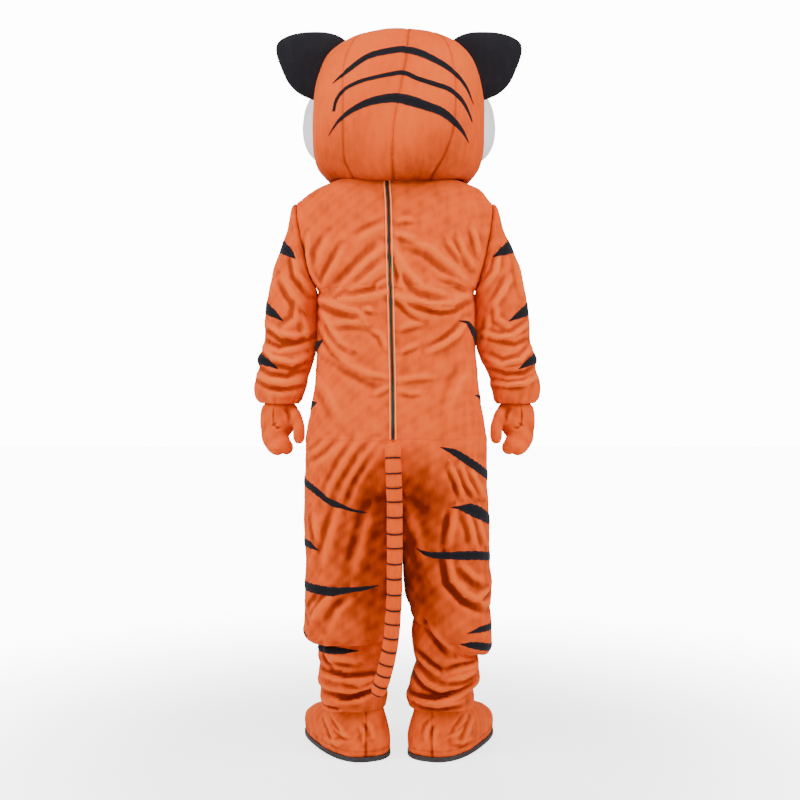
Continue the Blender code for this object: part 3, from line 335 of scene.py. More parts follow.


# each plush's deep and light colours are its painted shade and painted highlight colours
ORANGE = Plush("orange_plush", "orange_plush", (0.82, 0.090, 0.005), (0.15, 0.010, 0.001), (0.98, 0.175, 0.022))
BLACK = Plush("black_plush", "black_plush", (0.012, 0.011, 0.014), (0.004, 0.004, 0.005), (0.035, 0.033, 0.038),
              0.85, 0.12, (0.6, 0.6, 0.7), 0.4)
WHITE = Plush("white_plush", "white_plush", (0.92, 0.90, 0.91), (0.80, 0.68, 0.70), (0.97, 0.95, 0.96),
              0.85, 0.3, (1.0, 0.97, 0.98), 0.4)
# a paler copy of the orange plush for the zip's turned edges: painted highlight where their pile meets the light
ORANGE_HIGHLIT = Plush("zip_facing", "orange_plush", (0.92, 0.36, 0.14), (0.70, 0.18, 0.05), (0.95, 0.46, 0.22), crumple=0.0004)
SOLE = Moulded("sole_rubber", "sole", (0.016, 0.015, 0.016), 0.55)
GLOSS = Moulded("gloss_black", "gloss_black", (0.008, 0.008, 0.009), 0.16, coat=0.6, relief=0.00005)
STEEL = Moulded("zip_metal", "zip_metal", (0.52, 0.53, 0.55), 0.34, 1.0, relief=0.00005)
TEETH = Moulded("zip_teeth", "zip_tape", (0.006, 0.026, 0.014), 0.5, relief=0.00005)
TAPE = Woven("zip_tape", "zip_tape", (0.008, 0.012, 0.010), (0.010, 0.110, 0.040))
THREAD = Plush("seam_thread", "orange_plush", (0.42, 0.085, 0.018), (0.25, 0.04, 0.008), (0.55, 0.13, 0.03),
               sheen=0.1, crumple=0.0002)
FINISHES: dict[str, bpy.types.Material] = {}


def finish(kind: Any) -> bpy.types.Material:
    """The material of a finish, made once."""
    if kind.name not in FINISHES:
        FINISHES[kind.name] = kind.make()
    return FINISHES[kind.name]


# ---------------------------------------------------------------- making and finishing pieces
def select_only(made: bpy.types.Object) -> None:
    """Select one object and make it the active one."""
    bpy.ops.object.select_all(action="DESELECT")
    made.select_set(True)
    bpy.context.view_layer.objects.active = made


def new_grid(name: str, points: Grid, closed: bool = False, nap: np.ndarray | None = None,
             normals: Grid | None = None) -> bpy.types.Object:
    """A sheet of quads from a grid primitive, its corners put on a surface.

    Args:
        name: The piece's name.
        points: Rows by columns of points, heights above the floor.
        closed: True where the last column meets the first.
        nap: Painted shade (below 0) and painted highlight (above 0) at each point, from -1 to 1.
        normals: Which way each point's face should look.

    Returns:
        The object.
    """
    if closed:
        points = np.concatenate([points, points[:, :1]], axis=1)
        nap = None if nap is None else np.concatenate([nap, nap[:, :1]], axis=1)
    rows, columns = points.shape[:2]
    bpy.ops.object.select_all(action="DESELECT")
    bpy.ops.mesh.primitive_grid_add(x_subdivisions=columns - 1, y_subdivisions=rows - 1, size=1.0)
    made = bpy.context.object
    made.name = made.data.name = name
    lowered = points - np.array((0.0, 0.0, HOLD_HEIGHT))
    made.data.vertices.foreach_set("co", lowered.reshape(-1))
    store_nap(made, np.zeros((rows, columns)) if nap is None else nap)
    if normals is not None:
        made.data.update()
        face = made.data.polygons[(rows // 2) * (columns - 1) + columns // 2]
        row, column = divmod(face.vertices[0], columns)
        if face.normal.dot(Vector(normals[row, min(column, normals.shape[1] - 1)])) < 0:
            made.data.flip_normals()
    if closed:
        bpy.ops.object.mode_set(mode="EDIT")
        bpy.ops.mesh.select_all(action="SELECT")
        bpy.ops.mesh.remove_doubles(threshold=0.00001)
        bpy.ops.object.mode_set(mode="OBJECT")
    return made


def store_nap(made: bpy.types.Object, nap: np.ndarray) -> None:
    """Keep each point's painted shade and highlight on the mesh."""
    layer = made.data.attributes.new("nap", "FLOAT", "POINT")
    layer.data.foreach_set("value", nap.reshape(-1).astype(np.float32))


def apply_modifier(made: bpy.types.Object, kind: str, **settings: Any) -> None:
    """Add a modifier and apply it."""
    select_only(made)
    change = made.modifiers.new(kind.lower(), kind)
    for key, value in settings.items():
        setattr(change, key, value)
    bpy.ops.object.modifier_apply(modifier=change.name)


def thicken(made: bpy.types.Object, thickness: float) -> None:
    """Give a sheet its wall, inward from its face."""
    apply_modifier(made, "SOLIDIFY", thickness=thickness, offset=-1.0, use_even_offset=False)


def dress(made: bpy.types.Object, kind: Any, *nodes: str, body: str = BODY, smooth: float = 55.0) -> bpy.types.Object:
    """Give a finished piece its material, shading, body and CAD nodes.

    Args:
        made: The piece.
        kind: Its finish.
        nodes: The CAD nodes that it stands for.
        body: The body that it rides on.
        smooth: Edges sharper than this many degrees stay sharp.

    Returns:
        The piece.
    """
    select_only(made)
    made.data.materials.clear()
    made.data.materials.append(finish(kind))
    bpy.ops.object.shade_smooth_by_angle(angle=radians(smooth))
    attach(made, body)
    if nodes:
        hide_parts(*nodes)
    LOG.info("%s: %d faces", made.name, len(made.data.polygons))
    return made


# ---------------------------------------------------------------- surfaces worked out from sections
def power(value: float, exponent: float) -> float:
    """A sign-keeping power, for rounded-square outlines."""
    return copysign(abs(value) ** exponent, value)


def mix(start: Any, end: Any, share: Any) -> Any:
    """The value a share of the way from start to end."""
    return start + (end - start) * share


def grid_normals(grid: Grid, closed: bool = False) -> Grid:
    """Unit normals of a grid of points, facing away from its middle line."""
    along = np.gradient(grid, axis=0)
    around = np.roll(grid, -1, axis=1) - np.roll(grid, 1, axis=1) if closed else np.gradient(grid, axis=1)
    normals = np.cross(around, along)
    away = grid - grid.mean(axis=1, keepdims=True)
    if np.sum(away[..., :2] * normals[..., :2]) < 0:
        normals = -normals
    return normals / np.maximum(np.linalg.norm(normals, axis=2, keepdims=True), 1e-12)


def even_columns(rings: Grid, keys: np.ndarray, count: int) -> tuple[Grid, np.ndarray]:
    """Space each row's points evenly along it.

    Args:
        rings: Rows of closely spaced points.
        keys: A number for each point, such as its turn, that is carried along.
        count: Steps wanted.

    Returns:
        The evenly spaced points and their numbers.
    """
    made, kept = [], []
    for row, key in zip(rings, keys):
        lengths = np.concatenate([[0.0], np.cumsum(np.linalg.norm(np.diff(row, axis=0), axis=1))])
        places = np.linspace(0.0, lengths[-1], count + 1)
        made.append(np.stack([np.interp(places, lengths, row[:, axis]) for axis in range(3)], axis=1))
        kept.append(np.interp(places, lengths, key))
    return np.array(made), np.array(kept)


def row_steps(grids: Iterable[Grid]) -> np.ndarray:
    """The distance from each row to the next, the same for every grid of a set."""
    found = []
    for grid in grids:
        steps = np.linalg.norm(np.diff(grid[..., :3], axis=0), axis=2)
        found.append(np.maximum(steps.mean(axis=1), steps.max(axis=1) * 0.7))
    return np.max(found, axis=0)


def smooth_rows(grid: Grid, spacing: float, sharp: dict[int, np.ndarray] | None = None,
                lengths: np.ndarray | None = None) -> Grid:
    """Rows at about equal spacing on smooth curves through a coarse grid's rows.

    Args:
        grid: Rows by columns of points or numbers.
        spacing: Metres between the rows wanted.
        sharp: Row numbers with, for each column, how sharply the curve turns there, 0 to 1.
        lengths: The distance between one row and the next, where several grids share it.

    Returns:
        The finer grid.
    """
    lengths = row_steps([grid]) if lengths is None else lengths
    places = np.concatenate([[0.0], np.cumsum(lengths)])
    slopes = np.diff(grid, axis=0) / lengths[:, None, None]
    tangent = np.gradient(grid, places, axis=0)
    leaving, arriving = tangent.copy(), tangent.copy()
    for row, amount in (sharp or {}).items():
        share = amount[:, None]
        leaving[row] = mix(tangent[row], slopes[min(row, len(slopes) - 1)], share)
        arriving[row] = mix(tangent[row], slopes[max(row - 1, 0)], share)
    rows = [grid[:1]]
    for index, length in enumerate(lengths):
        count = max(1, round(length / spacing))
        share = (np.arange(1, count + 1) / count)[:, None, None]
        square, cube = share ** 2, share ** 3
        rows.append(grid[index] * (2 * cube - 3 * square + 1)
                    + leaving[index] * length * (cube - 2 * square + share)
                    + grid[index + 1] * (3 * square - 2 * cube)
                    + arriving[index + 1] * length * (cube - square))
    return np.concatenate(rows)


def pulled_back(grid: Grid, first: float, last: float) -> Grid:
    """A grid with its first and last columns drawn in along the cloth."""
    moved = grid.copy()
    for edge, inside, distance in ((0, 1, first), (-1, -2, last)):
        step = grid[:, inside] - grid[:, edge]
        length = np.linalg.norm(step, axis=1, keepdims=True)
        moved[:, edge] = grid[:, edge] + step / length * np.minimum(distance, 0.8 * length)
    return moved


def from_edge(grid: Grid, column: int) -> np.ndarray:
    """How far along the cloth each point is from the first (0) or last (-1) column."""
    steps = np.linalg.norm(np.diff(grid, axis=1), axis=2)
    run = np.concatenate([np.zeros((len(grid), 1)), np.cumsum(steps, axis=1)], axis=1)
    return run if column == 0 else run[:, -1:] - run


# ---------------------------------------------------------------- creases laid in one by one
@dataclass(frozen=True)
class Crease:
    """A soft ridge or trough along a line on the cloth.

    The line's points are (x, height above the floor), as seen from straight behind or in front.
    """

    line: tuple[Point2, ...]
    width: float = 0.012
    lift: float = 0.005
    lean: float = 0.35

    def mirrored(self, shift: float = 0.0, share: float = 1.0) -> "Crease":
        """The same crease on the other side of a middle line, with its lift scaled."""
        return Crease(tuple((2 * shift - x, height) for x, height in self.line), self.width,
                      self.lift * share, self.lean)

    def raised(self, x: np.ndarray, height: np.ndarray) -> np.ndarray:
        """How far the cloth is lifted at each point.

        Args:
            x: Places across.
            height: Heights above the floor.

        Returns:
            The lift in metres, negative in the trough that lies beside a ridge.
        """
        best = np.full(x.shape, 1e9)
        offset = np.zeros(x.shape)
        share = np.zeros(x.shape)
        spans = [np.hypot(b[0] - a[0], b[1] - a[1]) for a, b in zip(self.line, self.line[1:])]
        total, passed = sum(spans), 0.0
        for (ax, ah), (bx, bh), span in zip(self.line, self.line[1:], spans):
            ux, uh = (bx - ax) / span, (bh - ah) / span
            run = np.clip((x - ax) * ux + (height - ah) * uh, 0.0, span)
            dx, dh = x - ax - run * ux, height - ah - run * uh
            distance = np.hypot(dx, dh)
            near = distance < best
            best = np.where(near, distance, best)
            offset = np.where(near, dx * -uh + dh * ux, offset)
            share = np.where(near, (passed + run) / total, share)
            passed += span
        side = best * np.sign(offset)
        steep = np.where(side > 0, 1.0 - self.lean, 1.0 + self.lean) * self.width
        ends = np.sin(np.pi * np.clip(0.06 + share * 0.88, 0.0, 1.0)) ** 0.8
        crest = 0.72 * np.exp(-(best / steep) ** 2) + 0.36 * np.exp(-(best / (0.45 * steep)) ** 2)
        beside = np.exp(-((side - 1.5 * self.width) / (0.65 * self.width)) ** 2)
        return self.lift * ends * (crest - 0.60 * beside)


def creased(grid: Grid, normals: Grid, layers: Iterable[tuple[Iterable[Crease], np.ndarray]], ripple: float = 0.0007,
            seed: float = 0.0) -> tuple[Grid, np.ndarray]:
    """Lay creases and a faint unevenness into a surface, with painted shade in their troughs and painted highlight on
    their ridges.

    Args:
        grid: The surface's points.
        normals: Their normals.
        layers: Sets of creases, each with how strongly it counts at every point.
        ripple: Height of the faint unevenness.
        seed: Shifts the unevenness from piece to piece.

    Returns:
        The moved points, and the painted shade and highlight there.
    """
    x, y, height = grid[..., 0], grid[..., 1], grid[..., 2]
    lift = np.zeros(x.shape)
    for creases, share in layers:
        total = np.zeros(x.shape)
        for crease in creases:
            total += crease.raised(x, height)
        lift += total * share
    wave = (np.sin(47 * x + 31 * height + seed) * np.sin(39 * y - 53 * height + 2.1 * seed)
            + 0.6 * np.sin(91 * x - 67 * height + 1.7 * seed) * np.sin(73 * y + 59 * height)
            + 0.35 * np.sin(163 * x + 121 * height + seed) * np.sin(151 * y - 87 * height))
    lift += ripple * wave
    soft = lift
    for _ in range(10):
        padded = np.pad(soft, 1, mode="edge")
        soft = (padded[:-2, 1:-1] + padded[2:, 1:-1] + padded[1:-1, :-2] + padded[1:-1, 2:]) / 4
    # painted shading: lighter where the cloth is raised or on a ridge, darker where it is sunk or in a trough
    nap = np.clip((lift - soft) / 0.0011, -1.0, 1.0) * 0.55 + np.clip(lift / 0.007, -0.6, 0.6) * 0.5
    return grid + normals * lift[..., None], nap


def seamed(grid: Grid, normals: Grid, nap: np.ndarray, columns: Iterable[int], depth: float = 0.0014,
           reach: float = 0.0045, pucker: float = 0.0005) -> tuple[Grid, np.ndarray]:
    """Draw a sheet down at its sewn edges, with small puckers across them and painted shade along them."""
    moved, mottle_and_painted_shade = grid.copy(), nap.copy()
    rows = np.arange(len(grid))[:, None]
    for column in columns:
        distance = from_edge(grid, column)
        near = np.exp(-(distance / reach) ** 2)
        waves = np.sin(rows * 1.9 + column) * np.sin(rows * 0.61 + 1.0)
        moved -= normals * (near * depth)[..., None]
        moved += normals * (np.exp(-(distance / (3 * reach)) ** 2) * pucker * waves)[..., None]
        # painted shade along the sunken seam
        mottle_and_painted_shade -= 0.55 * near
    return moved, mottle_and_painted_shade


# ---------------------------------------------------------------- where things lie on a surface
class SurfaceMap:
    """Finds points of a surface by a key, such as degrees round or x, and a height."""

    def __init__(self, flat: Grid, keys: np.ndarray, shown: Grid, scale: float) -> None:
        """Keep a surface.

        Args:
            flat: Its points before creases.
            keys: The key of each point.
            shown: Its points with creases.
            scale: Metres to one unit of the key.
        """
        self.keys, self.heights = keys * scale, flat[..., 2]
        self.shown = shown
        self.normals = grid_normals(shown)
        self.scale = scale

    def rows(self, first: int | None, last: int | None) -> "SurfaceMap":
        """Only some rows of the surface."""
        part = copy(self)
        for name in ("keys", "heights", "shown", "normals"):
            setattr(part, name, getattr(self, name)[first:last])
        return part

    def spot(self, keys: np.ndarray, heights: np.ndarray) -> tuple[Grid, Grid]:
        """Points and normals at the keys (in metres) and heights."""
        places, outs = [], []
        rows, columns = self.keys.shape
        for key, height in zip(keys, heights):
            gap = (self.keys - key) ** 2 + (self.heights - height) ** 2
            row, column = np.unravel_index(int(gap.argmin()), gap.shape)
            row, column = min(max(row, 1), rows - 2), min(max(column, 1), columns - 2)
            down = np.array(((self.keys[row + 1, column] - self.keys[row - 1, column]) / 2,
                             (self.heights[row + 1, column] - self.heights[row - 1, column]) / 2))
            over = np.array(((self.keys[row, column + 1] - self.keys[row, column - 1]) / 2,
                             (self.heights[row, column + 1] - self.heights[row, column - 1]) / 2))
            away = np.array((key - self.keys[row, column], height - self.heights[row, column]))
            spread = np.array((down, over)).T
            moved = np.linalg.solve(spread, away) if abs(np.linalg.det(spread)) > 1e-12 else np.zeros(2)
            moved = np.clip(moved, -1.0, 1.0)
            low_row, low_column = row + (moved[0] < 0) * -1, column + (moved[1] < 0) * -1
            share_row, share_column = moved[0] % 1.0 if moved[0] < 1 else 1.0, moved[1] % 1.0 if moved[1] < 1 else 1.0
            for source, kept in ((self.shown, places), (self.normals, outs)):
                block = source[low_row:low_row + 2, low_column:low_column + 2]
                near = mix(block[0, 0], block[0, 1], share_column)
                far = mix(block[1, 0], block[1, 1], share_column)
                kept.append(mix(near, far, share_row))
        outs = np.array(outs)
        return np.array(places), outs / np.linalg.norm(outs, axis=1, keepdims=True)


@dataclass
class Stripe:
    """A black stripe sewn on: stations of (key, height, half width) along its middle."""

    name: str
    stations: Sequence[tuple[float, float, float]]
    step: float = 0.0028
    across: int = 7
    ragged: float = 0.11

    def centre_line(self, scale: float) -> tuple[np.ndarray, np.ndarray]:
        """The middle line at even steps, as points of (key in metres, height), and its half widths."""
        line = np.array([(key * scale, height, 0.0) for key, height, _ in self.stations])
        halves = np.array([half for *_, half in self.stations])
        spans = np.concatenate([[0.0], np.cumsum(np.linalg.norm(np.diff(line, axis=0), axis=1))])
        count = max(8, round(spans[-1] / self.step))
        fine = smooth_rows(line[:, None, :], self.step)[:, 0]
        run = np.concatenate([[0.0], np.cumsum(np.linalg.norm(np.diff(fine, axis=0), axis=1))])
        places = np.linspace(0.0, run[-1], count + 1)
        points = np.stack([np.interp(places, run, fine[:, axis]) for axis in (0, 1)], axis=1)
        width = np.interp(places / run[-1] * spans[-1], spans, halves)
        seed = float(len(self.name) + sum(ord(letter) for letter in self.name) % 17)
        width = width * (1 + self.ragged * np.sin(places * 420 + seed) * np.sin(places * 173 + 2 * seed))
        return points, width + 0.0002

    def make(self, surface: SurfaceMap, nodes: Sequence[str]) -> bpy.types.Object:
        """Build the patch on a surface, a thickness of plush proud of it.

        Args:
            surface: The cloth that it is sewn on.
            nodes: The CAD nodes that it stands for.

        Returns:
            The finished piece.
        """
        points, halves = self.centre_line(surface.scale)
        along = np.gradient(points, axis=0)
        along /= np.linalg.norm(along, axis=1, keepdims=True)
        square = np.stack([-along[:, 1], along[:, 0]], axis=1)
        rows, outs = [], []
        for place in np.linspace(-1.0, 1.0, self.across):
            edge = points + square * (halves * place)[:, None]
            spots, normals = surface.spot(edge[:, 0], edge[:, 1])
            rise = SEAM_GAP + PATCH * (1.0 - 0.55 * abs(place) ** 3)
            rows.append(spots + normals * rise)
            outs.append(normals)
        grid, outs = np.array(rows), np.array(outs)
        # painted highlight along the patch's edges and painted shade down its middle
        nap = np.repeat(np.linspace(-1, 1, self.across)[:, None] ** 2 * 0.8 - 0.4, grid.shape[1], axis=1)
        made = new_grid(self.name, grid, nap=nap, normals=outs)
        thicken(made, PATCH)
        return dress(made, BLACK, *nodes)


# ---------------------------------------------------------------- the suit: body, sleeves and legs
BACK_CREASES = (
    # from the left armpit and shoulder blade toward the zip
    Crease(((0.203, 1.176), (0.168, 1.160), (0.130, 1.146), (0.098, 1.138), (0.092, 1.126)), 0.0115, 0.0085, 0.5),
    Crease(((0.040, 1.300), (0.078, 1.268), (0.118, 1.226), (0.168, 1.180)), 0.0150, 0.0075, 0.4),
    Crease(((0.036, 1.262), (0.070, 1.232), (0.100, 1.206), (0.136, 1.184)), 0.0120, 0.0060, 0.45),
    Crease(((0.028, 1.192), (0.070, 1.180), (0.110, 1.174), (0.150, 1.174)), 0.0105, 0.0070, 0.5),
    Crease(((0.226, 1.335), (0.229, 1.290), (0.222, 1.245), (0.202, 1.208)), 0.0100, 0.0060, -0.3),
    Crease(((0.139, 1.300), (0.160, 1.262), (0.178, 1.232), (0.192, 1.208)), 0.0110, 0.0055, 0.3),
    Crease(((0.176, 1.330), (0.196, 1.290), (0.204, 1.250)), 0.0130, 0.0040, 0.2),
    Crease(((0.034, 1.356), (0.070, 1.340), (0.108, 1.318)), 0.0120, 0.0038, 0.3),
    Crease(((0.026, 1.222), (0.052, 1.206), (0.060, 1.190)), 0.0070, 0.0030, 0.3),
    # left waist
    Crease(((0.198, 1.150), (0.170, 1.100), (0.146, 1.066), (0.124, 1.052)), 0.0120, 0.0065, 0.4),
    Crease(((0.200, 1.118), (0.182, 1.078), (0.160, 1.050), (0.132, 1.028)), 0.0110, 0.0048, 0.35),
    Crease(((0.168, 1.112), (0.120, 1.116), (0.078, 1.108)), 0.0100, 0.0040, 0.4),
    Crease(((0.086, 1.149), (0.076, 1.146), (0.064, 1.142)), 0.0070, 0.0045, 0.4),
    Crease(((0.186, 1.052), (0.120, 1.006), (0.060, 0.978), (0.030, 0.970)), 0.0150, 0.0036, 0.3),
    Crease(((0.068, 1.098), (0.044, 1.082), (0.030, 1.050)), 0.0080, 0.0034, 0.3),
    Crease(((0.062, 0.936), (0.044, 0.944), (0.025, 0.954)), 0.0070, 0.0034, 0.3),
    Crease(((0.078, 0.986), (0.052, 0.982), (0.026, 0.978)), 0.0065, 0.0026, 0.3),
    Crease(((0.205, 0.980), (0.170, 0.930), (0.150, 0.880)), 0.0180, 0.0030, 0.2),
    # from the right armpit and shoulder blade toward the zip
    Crease(((0.016, 1.178), (-0.030, 1.168), (-0.085, 1.158), (-0.135, 1.162), (-0.184, 1.192)), 0.0115, 0.0085, 0.5),
    Crease(((0.002, 1.174), (-0.018, 1.152), (-0.038, 1.136), (-0.060, 1.126)), 0.0080, 0.0060, 0.4),
    Crease(((-0.060, 1.163), (-0.078, 1.155), (-0.104, 1.148), (-0.138, 1.152)), 0.0085, 0.0065, -0.4),
    Crease(((0.012, 1.300), (-0.014, 1.246), (-0.058, 1.200), (-0.126, 1.182)), 0.0140, 0.0075, 0.4),
    Crease(((0.008, 1.262), (-0.002, 1.236), (-0.008, 1.206)), 0.0080, 0.0045, 0.3),
    Crease(((-0.026, 1.318), (-0.074, 1.298), (-0.124, 1.258), (-0.178, 1.218)), 0.0140, 0.0068, 0.4),
    Crease(((-0.124, 1.316), (-0.146, 1.288), (-0.162, 1.268)), 0.0085, 0.0050, 0.4),
    Crease(((-0.150, 1.326), (-0.164, 1.290), (-0.186, 1.258)), 0.0090, 0.0055, 0.4),
    Crease(((-0.187, 1.352), (-0.197, 1.322), (-0.203, 1.290)), 0.0085, 0.0050, -0.3),
    Crease(((-0.100, 1.236), (-0.134, 1.224), (-0.176, 1.206)), 0.0100, 0.0042, 0.3),
    Crease(((0.008, 1.368), (-0.016, 1.372), (-0.040, 1.370)), 0.0080, 0.0028, 0.2),
    Crease(((0.011, 1.338), (-0.014, 1.330), (-0.046, 1.322)), 0.0090, 0.0034, 0.3),
    # right waist
    Crease(((-0.172, 1.118), (-0.146, 1.082), (-0.112, 1.056), (-0.076, 1.040)), 0.0110, 0.0058, -0.4),
    Crease(((-0.150, 1.092), (-0.122, 1.066), (-0.090, 1.050)), 0.0080, 0.0034, -0.3),
    Crease(((0.000, 1.098), (-0.024, 1.106), (-0.058, 1.112)), 0.0080, 0.0036, 0.3),
    Crease(((-0.004, 1.042), (-0.024, 1.050), (-0.046, 1.060)), 0.0070, 0.0032, 0.3),
    Crease(((0.000, 0.970), (-0.040, 0.976), (-0.090, 0.980)), 0.0080, 0.0026, 0.3),
    Crease(((0.002, 0.944), (-0.030, 0.938), (-0.060, 0.940)), 0.0070, 0.0024, 0.3),
    Crease(((-0.186, 1.010), (-0.150, 0.960), (-0.130, 0.900)), 0.0180, 0.0030, 0.2),
    # seat and left thigh: long gathers down and out
    Crease(((0.058, 0.815), (0.092, 0.775), (0.130, 0.712), (0.156, 0.664)), 0.0120, 0.0034, 0.3),
    Crease(((0.096, 0.830), (0.140, 0.764), (0.172, 0.704), (0.184, 0.668)), 0.0110, 0.0033, 0.3),
    Crease(((0.040, 0.800), (0.074, 0.755), (0.104, 0.704), (0.124, 0.650)), 0.0110, 0.0028, 0.3),
    Crease(((0.138, 0.820), (0.180, 0.778), (0.222, 0.752)), 0.0100, 0.0026, 0.3),
    Crease(((0.178, 0.826), (0.206, 0.796), (0.228, 0.780)), 0.0085, 0.0020, 0.3),
    Crease(((0.074, 0.640), (0.092, 0.560), (0.116, 0.480)), 0.0170, 0.0036, 0.2),
    Crease(((0.150, 0.650), (0.172, 0.580), (0.190, 0.506)), 0.0140, 0.0044, 0.3),
    Crease(((0.216, 0.640), (0.206, 0.596), (0.200, 0.560)), 0.0110, 0.0042, 0.2),
    Crease(((0.168, 0.436), (0.196, 0.404), (0.220, 0.366)), 0.0110, 0.0070, 0.4),
    Crease(((0.196, 0.432), (0.216, 0.404), (0.230, 0.380)), 0.0085, 0.0050, 0.3),
    Crease(((0.120, 0.420), (0.150, 0.392), (0.172, 0.352)), 0.0130, 0.0034, 0.3),
    # right thigh
    Crease(((-0.024, 0.660), (-0.046, 0.590), (-0.068, 0.500)), 0.0180, 0.0034, 0.2),
    Crease(((-0.130, 0.754), (-0.148, 0.718), (-0.160, 0.680)), 0.0090, 0.0050, 0.3),
    Crease(((-0.154, 0.758), (-0.172, 0.712), (-0.196, 0.680)), 0.0090, 0.0050, 0.3),
    Crease(((-0.180, 0.746), (-0.200, 0.708), (-0.216, 0.676)), 0.0085, 0.0044, 0.3),
    Crease(((-0.140, 0.646), (-0.130, 0.600), (-0.124, 0.556)), 0.0110, 0.0052, 0.3),
    Crease(((-0.168, 0.640), (-0.184, 0.600), (-0.190, 0.560)), 0.0110, 0.0044, 0.3),
    Crease(((-0.194, 0.632), (-0.208, 0.590), (-0.220, 0.556)), 0.0085, 0.0042, 0.3),
    Crease(((-0.122, 0.524), (-0.134, 0.470), (-0.166, 0.434), (-0.224, 0.402)), 0.0125, 0.0095, 0.5),
    Crease(((-0.186, 0.416), (-0.206, 0.428), (-0.228, 0.440)), 0.0085, 0.0055, 0.4),
    Crease(((-0.156, 0.510), (-0.186, 0.480), (-0.214, 0.462)), 0.0110, 0.0044, 0.3),
    # left shin rolls
    Crease(((0.196, 0.276), (0.160, 0.268), (0.110, 0.262)), 0.0100, 0.0050, 0.5),
    Crease(((0.200, 0.234), (0.130, 0.226), (0.056, 0.230)), 0.0080, -0.0055, 0.3),
    Crease(((0.194, 0.190), (0.120, 0.184), (0.040, 0.206)), 0.0090, 0.0050, 0.5),
    Crease(((0.150, 0.166), (0.104, 0.172), (0.066, 0.186)), 0.0070, -0.0050, 0.3),
    Crease(((0.190, 0.141), (0.172, 0.138), (0.154, 0.139)), 0.0050, -0.0065, 0.0),
    Crease(((0.186, 0.304), (0.176, 0.262), (0.156, 0.246)), 0.0090, 0.0050, 0.3),
    Crease(((0.128, 0.214), (0.100, 0.206), (0.074, 0.216)), 0.0080, 0.0032, 0.3),
    # right shin rolls
    Crease(((-0.078, 0.356), (-0.104, 0.324), (-0.134, 0.290)), 0.0110, 0.0070, 0.3),
    Crease(((-0.046, 0.284), (-0.076, 0.258), (-0.110, 0.238)), 0.0085, -0.0055, 0.3),
    Crease(((-0.124, 0.244), (-0.164, 0.254), (-0.204, 0.256)), 0.0085, -0.0060, 0.3),
    Crease(((-0.036, 0.234), (-0.070, 0.204), (-0.112, 0.186)), 0.0090, 0.0070, 0.5),
    Crease(((-0.030, 0.172), (-0.090, 0.168), (-0.150, 0.184), (-0.194, 0.206)), 0.0085, -0.0060, 0.3),
    Crease(((-0.120, 0.216), (-0.160, 0.220), (-0.196, 0.232)), 0.0085, 0.0050, 0.4),
    Crease(((-0.050, 0.156), (-0.100, 0.150), (-0.160, 0.158)), 0.0090, 0.0045, 0.4),
)
